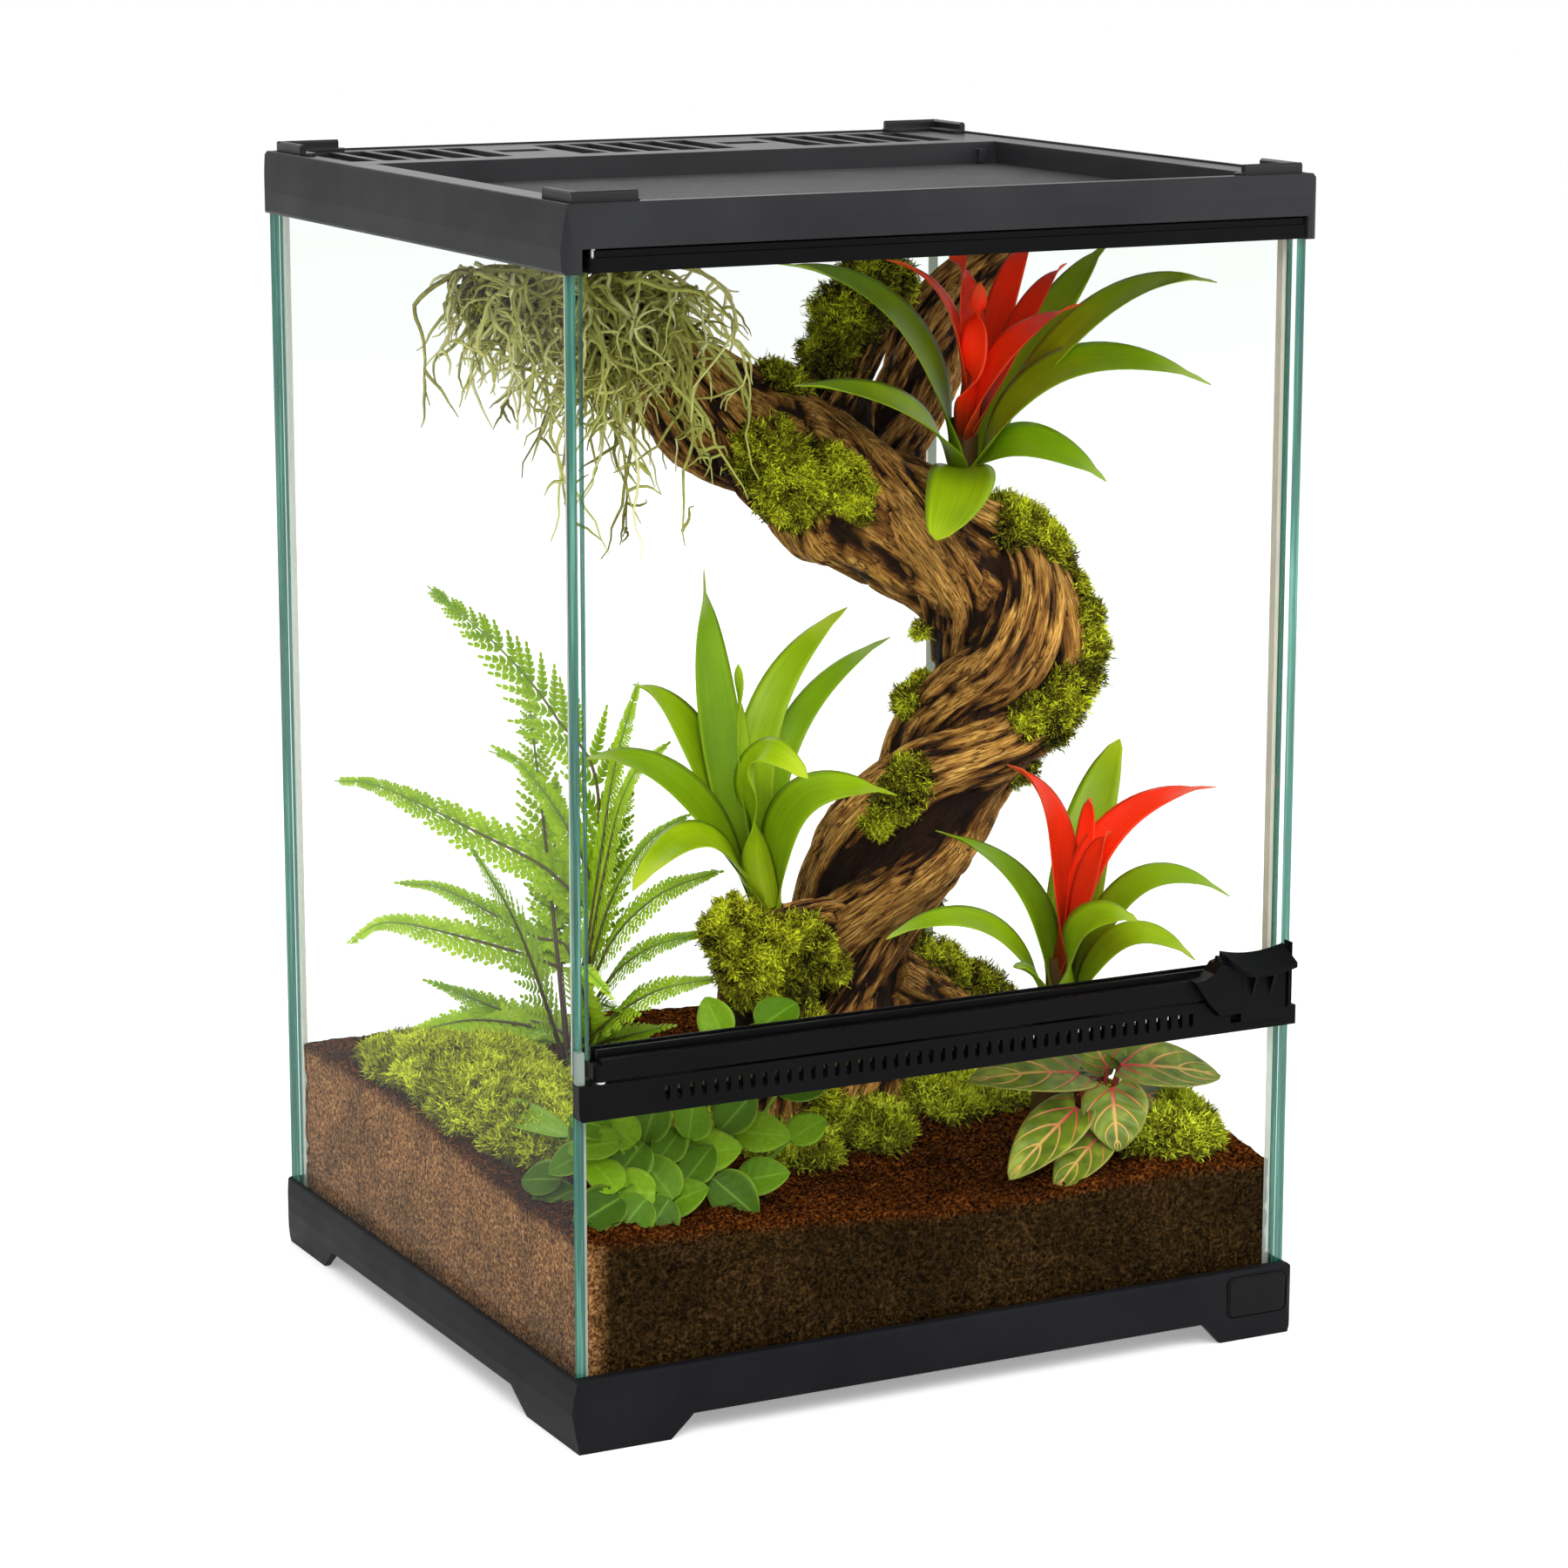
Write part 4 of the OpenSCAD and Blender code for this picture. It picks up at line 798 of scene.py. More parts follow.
# Painted shade: the wood darkens to near black in its deep cracks and in the gaps between strands.
tone_mix = bark.times(tone_mix, bark.value("cavity"), [(0.2, (1, 1, 1)), (0.55, (0.42, 0.34, 0.26)),
                                               (0.9, (0.035, 0.02, 0.01))])
relief = bark.bump(bark.sum(bark.scaled(fibre, 0.5), hairline), 0.0011, 0.9)
bark.surface(colour=tone_mix, rough=0.78, shine=0.12, relief=relief)
wood.piece("driftwood_strands", bark, "driftwood", "driftwood")
wood_skin = BVHTree.FromPolygons(np.vstack(wood.points).tolist(), wood.faces)

# %% [markdown]
# ## Moss
#
# Cushion moss is a mat of short branching shoots, dark and brown below and bright yellow-green at
# the tips. It hugs what it grows on and frays at its edges. So for each patch a cloud of places is
# drawn down onto the wood's own skin, or onto a low mound over the soil, and a shoot stands on
# each. A shoot is a tuft of narrow leaflets, and shoots are stacked through the mat's thickness,
# which leaves the inside dark between the lit tips. The colour darkens with depth in the mat too,
# partly the moss's own browning and partly painted shade.


# %% Moss shoots
def moss_shoots(heap, roots, axes, depth, size, leaflets, chance):
    """Tufts of kite-shaped leaflets; depth is 0 at the foot of the mat and 1 on top."""
    count = len(roots) * leaflets
    shoot_tone = np.repeat(chance.random(len(roots)), leaflets)
    roots = np.repeat(roots, leaflets, axis=0)
    axes = np.repeat(axes, leaflets, axis=0)
    depth = np.repeat(depth, leaflets)
    out = chance.normal(size=(count, 3))
    lean = axes * 0.7 + out / lengths(out) * 0.95
    lean /= lengths(lean)
    long = size * chance.uniform(0.5, 1.5, count)[:, None]
    flat = np.cross(lean, chance.normal(size=(count, 3)))
    flat /= lengths(flat)
    curl = np.cross(flat, lean)
    start = roots + axes * (chance.random(count)[:, None] * size * 0.7)
    wide = 0.06 * long + 0.1
    middle = start + lean * long * 0.55 + curl * long * 0.12
    tip = start + lean * long * 0.9 + axes * long * 0.15 - curl * long * 0.22
    points = np.stack([start, middle + flat * wide, tip, middle - flat * wide], 1)
    # Painted shade with the moss's own browning: points deep in the mat and at a leaflet's foot get a low
    # value here, which the finish paints dark.
    along = np.clip(np.array([0.0, 0.5, 1.0, 0.5]) * 0.5 + depth[:, None] * 0.5, 0, 1)
    patch = np.repeat(layered(start / 7.0, 2), 4)
    heap.add(points, np.arange(4 * count).reshape(-1, 4), along=along, patch=patch,
             tone=np.repeat(shoot_tone, 4))


print("faces of wood that moss can lie on:", len(wood.faces))


# %% Patches of moss on the wood
WOOD_MOSS = [  # the middle of a patch and its radius
    ((-12, -33, 340), 24), ((-30, -30, 336), 16), ((6, -36, 343), 18), ((18, -38, 330), 12),
    ((-35, -22, 345), 12), ((-41, -14, 348), 9), ((42, 22, 402), 15), ((29, 16, 386), 13),
    ((10, 6, 381), 10), ((56, 26, 416), 12), ((70, 32, 411), 9), ((100, -24, 313), 12),
    ((116, -22, 303), 11), ((91, -26, 320), 8), ((124, -34, 292), 7), ((125, -36, 279), 8),
    ((124, -38, 266), 9), ((118, -42, 255), 9), ((108, -48, 248), 10), ((100, -50, 239), 9),
    ((90, -54, 243), 8), ((76, -57, 243), 6), ((112, -26, 229), 10), ((98, -26, 218), 9),
    ((92, -38, 318), 9), ((104, -36, 311), 9), ((112, -32, 304), 8), ((57, -16, 273), 5),
    ((56, -16, 258), 5), ((53, -16, 246), 6), ((42, -38, 219), 8), ((36, -38, 209), 9),
    ((30, -34, 198), 7), ((60, -6, 137), 12), ((78, 0, 127), 12), ((97, 2, 116), 11), ((110, 4, 106), 8),
    ((70, -10, 158), 4), ((-46, -50, 174), 12), ((-50, -52, 164), 10), ((-34, -56, 160), 17),
    ((-10, -50, 158), 13), ((-34, -48, 142), 15), ((-22, -54, 138), 15), ((-40, -44, 132), 10),
    ((4, -44, 142), 8), ((-12, -50, 118), 13), ((-28, -48, 112), 11), ((-4, -44, 100), 12),
    ((-120, 6, 414), 9),
]


def moss_curls(heap, roots, axes, chance):
    """Fine curly threads that stand out of the mat and fray its outline."""
    count = len(roots)
    headings = axes * 0.7 + chance.normal(0, 0.6, (count, 3))
    thin_strands(heap, roots, headings / lengths(headings), chance.uniform(3, 8, count), 0.24, 2.2, 4, chance,
                 tone=chance.random(count), patch=layered(roots / 7.0, 2))


def moss_on_wood(heap, place, radius, chance):
    """A patch whose shoots stand on the wood's skin, tallest in the middle."""
    tries = int(20 * radius ** 1.75)
    cloud = np.array(place) + chance.normal(0, radius * 0.62, (tries, 3))
    roots, axes, depth = [], [], []
    for point, lift in zip(cloud, chance.random(tries) ** 0.8):
        found, normal, _, _ = wood_skin.find_nearest(Vector(point))
        away = (found - Vector(place)).length / radius
        fullness = max(0.0, 1 - (away / 1.3) ** 2) * (0.75 + 0.5 * soft_noise(np.array(found) / 5))
        height = min(9.0, 3 + 0.4 * radius) * fullness
        if height > 0.6 and normal.dot(Vector(point) - found) > -2:
            roots.append(found + normal * (height * lift - 0.6))
            axes.append(normal + Vector((0, 0, 0.25)))
            depth.append(lift)
    if not roots:
        return
    axes = np.array(axes) + chance.normal(0, 0.3, (len(axes), 3))
    axes /= lengths(axes)
    moss_shoots(heap, np.array(roots), axes, np.array(depth), 2.9, 5, chance)
    moss_curls(heap, np.array(roots)[::2], axes[::2], chance)


print("patches on the wood:", len(WOOD_MOSS), "widest, mm:", max(radius for _, radius in WOOD_MOSS))

# %% Mounds of moss on the soil
GROUND_MOSS = [  # x and y of a mound, its radius and its height
    (-118, 96, 24, 7), (-121, 68, 28, 11), (-122, 38, 30, 15), (-121, 4, 28, 14), (-118, -30, 24, 12),
    (-86, 112, 22, 7), (-98, 66, 24, 10), (-100, 24, 22, 9), (120, -108, 24, 16), (128, -86, 22, 13),
    (86, -22, 26, 10), (60, -30, 20, 9), (20, -44, 18, 7), (-20, -52, 20, 9), (-44, -36, 20, 10),
]


def mound_height(x, y):
    """How far the mounds stand above the soil."""
    rise = np.zeros_like(x)
    for middle_x, middle_y, radius, height in GROUND_MOSS:
        away = ((x - middle_x) ** 2 + (y - middle_y) ** 2) / radius ** 2
        rise = np.maximum(rise, height * np.sqrt(np.clip(1 - away, 0, 1)))
    lumps = layered(np.stack([x / 7, y / 7, 0 * x], -1), 3)
    return rise * (0.55 + 0.9 * lumps)


def moss_on_soil(heap, middle_x, middle_y, radius, chance):
    """The shoots of one mound, which lean out from its slope."""
    tries = int(15 * radius ** 2 * 0.32)
    reach, turn = radius * np.sqrt(chance.random(tries)) * 1.05, chance.random(tries) * 2 * math.pi
    x = np.clip(middle_x + reach * np.cos(turn), -147, 147)
    y = np.clip(middle_y + reach * np.sin(turn), -133, 137)
    rise, lift = mound_height(x, y), chance.random(tries) ** 0.7
    slope_x = (mound_height(x + 1, y) - mound_height(x - 1, y)) / 2
    slope_y = (mound_height(x, y + 1) - mound_height(x, y - 1)) / 2
    axes = np.stack([-slope_x, -slope_y, np.ones(tries)], -1)
    axes = axes / lengths(axes) + chance.normal(0, 0.3, (tries, 3))
    roots = np.stack([x, y, soil_height(x, y) + rise * (0.25 + 0.75 * lift)], -1)
    kept = rise > 0.8
    roots, axes = roots[kept], (axes / lengths(axes))[kept]
    moss_shoots(heap, roots, axes, lift[kept], 3.4, 5, chance)
    moss_curls(heap, roots[::3], axes[::3], chance)


print("mounds on the soil:", len(GROUND_MOSS))


# %% Moss finishes and meshes
def moss_finish(name, dark, mid, light):
    """Dark at the foot of the mat and light at its tips, partly the moss's own browning and partly painted
    shade, with some shoots and patches paler.
    """
    finish = Finish(name)
    mixed = finish.sum(finish.value("along"), finish.span(finish.value("tone"), -0.36, 0.22))
    mixed = finish.sum(mixed, finish.span(finish.value("patch"), -0.3, 0.22, 0.25, 0.75))
    mixed = finish.sum(mixed, finish.span(finish.noise(400, 2), -0.08, 0.08, 0.3, 0.7))
    tint = finish.ramp(mixed, [(0.15, dark), (0.55, mid), (1.0, light)], "LINEAR")
    finish.surface(colour=tint, rough=0.7, shine=0.1)
    return finish


on_wood = moss_finish("wood_moss", (0.012, 0.009, 0.0004), (0.17, 0.155, 0.002), (0.78, 0.84, 0.025))
on_ground = moss_finish("ground_moss_shoots", (0.06, 0.052, 0.004), (0.34, 0.36, 0.008), (0.86, 0.95, 0.05))
chance = np.random.default_rng(23)
wood_moss, ground_moss = Heap(), Heap()
for place, radius in WOOD_MOSS:
    moss_on_wood(wood_moss, place, radius, chance)
wood_moss.piece("wood_moss_shoots", on_wood, "moss_green", "driftwood_moss", smooth=False)
for middle_x, middle_y, radius, _ in GROUND_MOSS:
    moss_on_soil(ground_moss, middle_x, middle_y, radius, chance)
# a skin under the shoots fills the gaps between them, and dives into the soil at its rim; it takes the mat's
# dark foot colour, partly the moss's own browning and partly painted shade
under_x, under_y = np.meshgrid(np.linspace(-147, 147, 148), np.linspace(-132, 137, 136), indexing="ij")
under = mound_height(under_x, under_y)
under = soil_height(under_x, under_y) + under * 0.72 - 0.9 - 5 * np.clip(1 - under / 2, 0, 1)
ground_moss.add(np.stack([under_x, under_y, under], -1), grid_faces(*under_x.shape), along=0.02, tone=0.2,
                patch=0.3)
ground_moss.piece("ground_moss_shoots", on_ground, "moss_green", "ground_moss", smooth=False)

# %% [markdown]
# ## Hanging moss
#
# Spanish moss is a tangle of grey-green threads that fork and curl. It lies thick over the end of
# the branch and trails off below. Some hundred threads start in the tangle, wander as they fall,
# and thin out to their ends. Short forks leave them at odd angles.

# %% Hanging moss
chance = np.random.default_rng(31)
THREAD_ROOM = ((-147, -70, 80), (146, 60, 427))  # two corners of the space the threads may fill
threads = 420
u = chance.random(threads)
roots = np.stack([-132 + 84 * u ** 0.6, 6 + chance.normal(0, 10, threads) - 4 * u,
                  425 - 12 * u + chance.normal(0, 7, threads)], -1)
roots[:, 1:] = roots[:, 1:].clip((-16, 394), (34, 427))
headings = np.stack([chance.normal(0, 0.6, threads), chance.normal(-0.4, 0.8, threads),
                     chance.normal(-0.2, 0.5, threads)], -1)
headings /= lengths(headings)
long_ones = chance.random(threads) ** 2.6
spans = 26 + 105 * long_ones * (0.4 + 0.6 * np.exp(-((u - 0.75) / 0.33) ** 2))
hanging = Heap()
tone = chance.random(threads)
middle_lines = thin_strands(hanging, roots, headings, spans, 1.15, 1.0, 18, chance,
                            fall=0.17, room=THREAD_ROOM, tone=tone)
forks = 900
pick, at = chance.integers(0, threads, forks), chance.integers(4, 18, forks)
fork_heading = chance.normal(0, 1, (forks, 3)) + (0, 0, -0.5)
thin_strands(hanging, middle_lines[pick, at], fork_heading / lengths(fork_heading),
             chance.uniform(8, 24, forks), 0.8, 0.9, 7, chance, fall=0.1, room=THREAD_ROOM, tone=tone[pick])
thread = Finish("hanging_moss_threads")
thread_tone = thread.sum(thread.value("tone"), thread.span(thread.noise(300, 2), -0.25, 0.25))
thread_tint = thread.ramp(thread_tone, [(0.0, (0.22, 0.2, 0.02)), (0.35, (0.46, 0.46, 0.09)),
                                        (0.7, (0.66, 0.64, 0.2)), (1.0, (0.84, 0.82, 0.4))])
thread.surface(colour=thread_tint, rough=0.8)
hanging.piece("hanging_moss_threads", thread, "hanging_moss", "spanish_moss")

# %% [markdown]
# ## Strap leaves
#
# A bromeliad is a rosette of strap leaves: each rises from the cup, arches over, and has a shallow
# gutter along its middle and a short point. The leaf is one closed skin of flat rings swept along
# a curve. Its face is turned a little to the window, as leaves turn to the light. Its material
# reads how far along and across a point lies, to lighten the base, to draw the fine parallel veins
# and to give the rim its thin pale line.


# %% Leaf skin
TO_WINDOW = np.array((-0.4, -0.86, 0.3))
FLESH_DEPTH = (0.002, 0.003, 0.0006)  # how far red, green and blue light wander inside a leaf, in metres


def sheet_section(half_steps):
    """Places from rim to rim and back, and how far each lies above the middle of a sheet 2 thick."""
    u = np.concatenate([np.linspace(-1, 1, half_steps), np.linspace(1, -1, half_steps)[1:-1]])
    face = np.concatenate([np.ones(half_steps), -np.ones(half_steps - 2)])
    return u, np.sqrt(np.clip(1 - u ** 2, 0, 1)) * face


def strap_leaf(heap, base, middle, tip, width, tone, belly=0.8, thick=1.3, gutter=0.3, steps=26, turn=1.5):
    """A leaf whose midrib runs from base through middle to tip; a lower belly widens it nearer its base."""
    base, middle, tip = (np.array(place, float) for place in (base, middle, tip))
    over = 2 * middle - (base + tip) / 2
    t = np.linspace(0, 1, steps)[:, None]
    line = (1 - t) ** 2 * base + 2 * t * (1 - t) * over + t ** 2 * tip
    ahead = np.gradient(line, axis=0)
    ahead /= lengths(ahead)
    side = np.cross((0, 0, 1), tip - base)
    side /= np.linalg.norm(side)
    up = np.cross(ahead, side)
    up /= lengths(up)
    up = up + turn * TO_WINDOW * np.sin(math.pi * np.clip(t * 1.1, 0, 1)) ** 0.7
    up -= ahead * np.sum(up * ahead, axis=1, keepdims=True)
    up /= lengths(up)
    side = np.cross(up, ahead)
    shape = np.clip(np.sin(math.pi * (t * 0.955 + 0.045) ** belly), 0, 1) ** 0.52
    half = width / 2 * (0.04 + 0.96 * shape)
    u, section = sheet_section(9)
    body = thick / 2 * section
    fold = gutter * (1 - 0.55 * t) * half * u ** 2
    points = (line[:, None] + side[:, None] * (half * u)[..., None]
              + up[:, None] * (fold + body * (0.35 + 0.65 * shape))[..., None])
    heap.add(points, ring_faces(steps, len(u)), tone=tone, along=np.repeat(t, len(u)),
             across=np.tile(u, steps))


print("points round a leaf's section:", len(sheet_section(9)[0]))


# %% Leaf finishes
def strap_finish(name, cup, body, tip, rim=(0.4, 0.54, 0.03)):
    """A leaf's skin, coloured from its foot in the cup to its tip, with a thin rim."""
    finish = Finish(name)
    along, across, tone = finish.value("along"), finish.value("across"), finish.value("tone")
    lines = finish.point(finish.scaled(along, 1.4), finish.scaled(across, 16), finish.scaled(tone, 30))
    veins = finish.noise(1.0, 3, 0.6, lines)
    tint = finish.ramp(along, [(0.0, cup), (0.3, body), (0.8, body), (1.0, tip)])
    tint = finish.times(tint, veins, [(0.3, (0.84, 0.87, 0.8)), (0.7, (1.12, 1.1, 1.2))])
    tint = finish.times(tint, tone, [(0, (0.72, 0.8, 0.8)), (1, (1.25, 1.12, 1.1))], "LINEAR")
    tint = finish.times(tint, finish.noise(30, 3), [(0.3, (0.84, 0.86, 0.8)), (0.7, (1.14, 1.1, 1.1))])
    edge = finish.span(finish.size(across), 0, 0.45, 0.86, 0.99)
    foot = finish.sum(along, -0.2, "LESS_THAN")
    tint = finish.blend(foot, finish.blend(edge, tint, rim), (0.1, 0.05, 0.014))
    finish.surface(colour=tint, rough=finish.span(veins, 0.24, 0.4), shine=0.16, flesh=0.12,
                   flesh_depth=FLESH_DEPTH, relief=finish.bump(veins, 0.0003, 0.5))
    return finish


leaf_finish = strap_finish("strap_leaf", (0.24, 0.34, 0.004), (0.23, 0.38, 0.0015), (0.36, 0.5, 0.012))
bract_finish = strap_finish("bract", (0.3, 0.025, 0.0015), (0.98, 0.028, 0.002), (0.98, 0.11, 0.02),
                            rim=(0.98, 0.2, 0.06))
print("leaf finishes:", leaf_finish.material.name, bract_finish.material.name)


# %% [markdown]
# ## The three bromeliads
#
# One grows in the fork of the wood, one at its left foot and one in front on the right. Their
# leaves end where the photograph shows them. Two of them are in flower: their upper leaves, the
# bracts, are scarlet and stand upright in the middle.


# %% Rosette helpers
def rosette(heap, base, leaves, crown, belly=0.8):
    """Leaves round a crown of a given width; a row is a leaf's middle, its tip and its width."""
    for i, (middle, tip, width) in enumerate(leaves):
        out = np.array([tip[0] - base[0], tip[1] - base[1], 0.01])
        start = np.array(base) + crown * 0.6 * out / np.linalg.norm(out)
        strap_leaf(heap, start, middle, tip, width, (i * 0.37) % 1, belly=belly)


def stem(heap, a, b, radius):
    """A short round stem or root stock between two places."""
    middle = (np.array(a) + b) / 2
    rows, run = smooth_path([(*a, radius), (*middle, radius * 1.1), (*b, radius)], 12)
    cosines, sines = circle(20)
    bark_place = np.stack([run[:, None] / 9 + 0 * cosines, 2 * cosines + 0 * run[:, None],
                           2 * sines + 0 * run[:, None]], -1)
    wobble = 1 + 0.25 * (layered(bark_place, 2) - 0.5)
    heap.add(tube(rows[:, :3], wobble * radius, 20), ring_faces(12, 20), along=-0.5, across=0.0, tone=0.4)


# %% Where the leaves end
UPPER = (80, -14, 340)
UPPER_LEAVES = [
    ((43, -28, 402), (-20, -40, 429), 21), ((37, -40, 370), (-23, -62, 384), 19),
    ((57, -50, 336), (35, -72, 321), 27), ((95, -40, 352), (117, -64, 338), 19),
    ((103, -56, 384), (144, -98, 379), 19), ((113, -58, 404), (142, -104, 420), 17),
    ((116, -12, 392), (144, -18, 428), 18),
]
UPPER_BRACTS = [
    ((61, -36, 405), (26, -46, 429), 12), ((73, -28, 406), (67, -24, 430), 16),
    ((93, -22, 408), (106, -20, 429), 14), ((93, -38, 401), (108, -46, 424), 14),
    ((79, -46, 389), (108, -58, 409), 16), ((71, -38, 391), (74, -36, 417), 14),
]
GREEN = (-24, -40, 174)
GREEN_LEAVES = [
    ((-44, -36, 251), (-46, -30, 309), 21), ((-39, -50, 237), (-42, -52, 275), 9),
    ((-21, -30, 242), (24, -18, 287), 17), ((-8, -28, 237), (47, -12, 272), 13),
    ((-17, -56, 218), (19, -70, 220), 20), ((-41, -62, 236), (-28, -84, 234), 19),
    ((-66, -50, 227), (-110, -56, 244), 20), ((-52, -36, 239), (-79, -34, 267), 20),
    ((-64, -64, 210), (-106, -90, 199), 18),
]
LOWER = (91, -76, 126)
LOWER_LEAVES = [
    ((76, -77, 174), (30, -82, 207), 17), ((47, -92, 169), (-5, -106, 172), 14),
    ((107, -66, 185), (130, -56, 230), 23), ((115, -92, 177), (146, -116, 175), 14),
    ((84, -104, 165), (98, -124, 172), 22), ((107, -100, 159), (129, -118, 151), 13),
    ((69, -96, 145), (53, -106, 154), 14),
]
LOWER_BRACTS = [
    ((84, -84, 201), (61, -84, 231), 19), ((103, -92, 199), (145, -106, 218), 16),
    ((98, -84, 197), (99, -84, 213), 10), ((94, -94, 186), (101, -98, 202), 13),
]
print("leaves:", len(UPPER_LEAVES + GREEN_LEAVES + LOWER_LEAVES), "bracts:", len(UPPER_BRACTS + LOWER_BRACTS))

# %% Rosettes
ROSETTES = {"upper": (UPPER, UPPER_LEAVES, (80, -14, 314)), "green": (GREEN, GREEN_LEAVES, (-24, -38, 154)),
            "lower": (LOWER, LOWER_LEAVES, (91, -66, 72))}
for plant, (base, leaves, foot) in ROSETTES.items():
    heap = Heap()
    rosette(heap, base, leaves, 10)
    stem(heap, foot, base, 7)
    heap.piece("strap_leaves_" + plant, leaf_finish, "leaf_green", "bromeliad_" + plant)
for plant, base, bracts, rise in (("upper", UPPER, UPPER_BRACTS, 12), ("lower", LOWER, LOWER_BRACTS, 14)):
    heap = Heap()
    rosette(heap, (*base[:2], base[2] + rise), bracts, 6, belly=0.7)
    stem(heap, base, (*base[:2], base[2] + rise + 8), 5.5)
    heap.piece("bract_cup_" + plant, bract_finish, "bract_red", "bracts_" + plant)

# %% [markdown]
# ## Fern
#
# The fern's fronds are divided twice: a dark wiry stem carries side branches in pairs, and each of
# these carries lobes in pairs that get shorter towards its tip. The lobes are rounded, lean to the
# tip and are cut nearly to the rib, so one lobe is a small fan of triangles. Thousands of them are
# laid along the side branches by one rule, and each frond only has its own tip, arch and spread.

# %% Stems of the fern
FERN = (-68, 54, 86)
FROND_ROWS = 90
FERN_FRONDS = [  # the stops of a stem, its longest side branch, and that branch's breadth as a share
    (((-59, 42, 202), (-73, 54, 239), (-91, 68, 266), (-115, 86, 291)), 60, 0.21),
    (((-55, 58, 141), (-66, 70, 167), (-93, 94, 185), (-126, 114, 203), (-144, 120, 206)), 36, 0.4),
    (((-58, 60, 119), (-67, 70, 129), (-97, 96, 139), (-125, 112, 145), (-139, 118, 136)), 30, 0.44),
    (((-61, 66, 133), (-74, 82, 141), (-101, 104, 158), (-118, 114, 161)), 24, 0.46),
    (((-63, 60, 97), (-66, 72, 100), (-92, 98, 102), (-122, 112, 95)), 28, 0.44),
    (((-65, 64, 100), (-77, 92, 104), (-103, 112, 116)), 24, 0.46),
    (((-63, 34, 177), (-60, 24, 222), (-52, 18, 257)), 32, 0.4),
    (((-64, 28, 174), (-59, 14, 216), (-44, 6, 234)), 28, 0.42),
    (((-66, 24, 157), (-58, 4, 191), (-42, -6, 206)), 28, 0.44),
    (((-69, 18, 144), (-57, -6, 173), (-33, -16, 184)), 34, 0.4),
    (((-72, 14, 131), (-63, -10, 153), (-43, -22, 161)), 30, 0.42),
    (((-74, 10, 117), (-62, -16, 137), (-40, -28, 143)), 30, 0.42),
    (((-78, 12, 117), (-97, -20, 152), (-95, -44, 147)), 26, 0.44),
    (((-61, 44, 156), (-68, 50, 189), (-82, 66, 216), (-93, 76, 222)), 26, 0.44),
    (((-66, 80, 180), (-64, 104, 250)), 34, 0.26), (((-58, 88, 160), (-46, 114, 200)), 34, 0.28),
    (((-92, 48, 150), (-116, 40, 190)), 34, 0.28), (((-62, 40, 150), (-40, 50, 214)), 32, 0.28),
    (((-70, 30, 120), (-72, 0, 128)), 28, 0.3), (((-66, 30, 104), (-50, 4, 116)), 26, 0.44),
]
LOBE = np.array([(0, 0, 0), (0.2, -0.04, 0.4), (0.5, 0, 0.8), (0.74, 0.2, 1.0),
                 (0.72, 0.58, 0.94), (0.42, 0.76, 0.64), (0.16, 0.84, 0.3), (0, 1, 0)])


print("fronds:", len(FERN_FRONDS))


# %% Fronds
def unit(vector):
    """The vector at length 1."""
    return vector / np.linalg.norm(vector)


def pinna(heap, root, heading, up, reach, width, tone):
    """One leaflet: a rib with lobes in pairs that lean to its tip and fuse at their feet."""
    count = max(4, int(reach / 3.3))
    step = reach / (count + 1)
    flat = unit(np.cross(up, heading))
    share = np.arange(count + 1)[:, None] / (count + 1)
    wide = width / 2 * (1 - share) ** 0.8 * np.minimum(1, 0.7 + 2 * share)
    for hand in (-1, 1):
        ahead = LOBE[:, 0] * wide + LOBE[:, 1] * step + share * reach
        out = LOBE[:, 2] * wide
        lift = 0.1 * (ahead - share * reach) - 0.16 * out - 0.1 * reach * (ahead / reach) ** 2
        points = (root + heading * ahead[..., None] + flat * hand * out[..., None] + up * lift[..., None])
        fan = np.array([(0, i, i + 1)[::hand] for i in range(1, 7)])
        heap.add(points, (fan[None] + 8 * np.arange(count + 1)[:, None, None]).reshape(-1, 3),
                 along=0.1 + 0.5 * share + out / width, tone=tone)


def fern_frond(heap, stems, stops, reach_most, ratio, tone):
    """A frond from the crown through its stops; reach_most is its longest side branch."""
    rows, run = smooth_path([FERN, *stops], FROND_ROWS)
    ahead_all = np.gradient(rows, axis=0)
    bare = 0.36 if run[-1] > 130 else 0.2
    t = bare
    while t < 0.985:
        k = int(t * (FROND_ROWS - 1))
        place, forward = rows[k], unit(ahead_all[k])
        up = np.cross(forward, unit(np.cross((0, 0, 1), forward + (0.01, 0.01, 0)))) + 1.2 * TO_WINDOW
        up = unit(up - forward * up.dot(forward))
        side = np.cross(up, forward)
        reach = reach_most * min(1, 0.6 + 1.6 * (t - bare)) * (1.02 - t) ** 0.85
        lean = math.radians(56 - 20 * t)
        for hand in (-1, 1):
            heading = side * hand * math.sin(lean) + forward * math.cos(lean)
            tilt = unit(up + 0.12 * hand * side + 0.1 * forward)
            width = ratio * reach_most * (0.25 + 0.75 * reach / reach_most)
            pinna(heap, place, heading, tilt, reach, width, tone)
        t += (0.27 * reach + 1.3) / run[-1]
    last = FROND_ROWS - 8
    pinna(heap, rows[last], unit(ahead_all[last]), up, 13, 5.5, tone)
    thinning = np.linspace(1.2, 0.3, FROND_ROWS)[:, None]
    stems.add(tube(rows, thinning, 6), ring_faces(FROND_ROWS, 6),
              along=np.repeat(np.linspace(0, 1, FROND_ROWS), 6))


fern, fern_stems = Heap(), Heap()
for i, (stops, reach, ratio) in enumerate(FERN_FRONDS):
    fern_frond(fern, fern_stems, stops, reach, ratio, (i * 0.41) % 1)
print("points of the fronds:", fern.count, "and of their stems:", fern_stems.count)

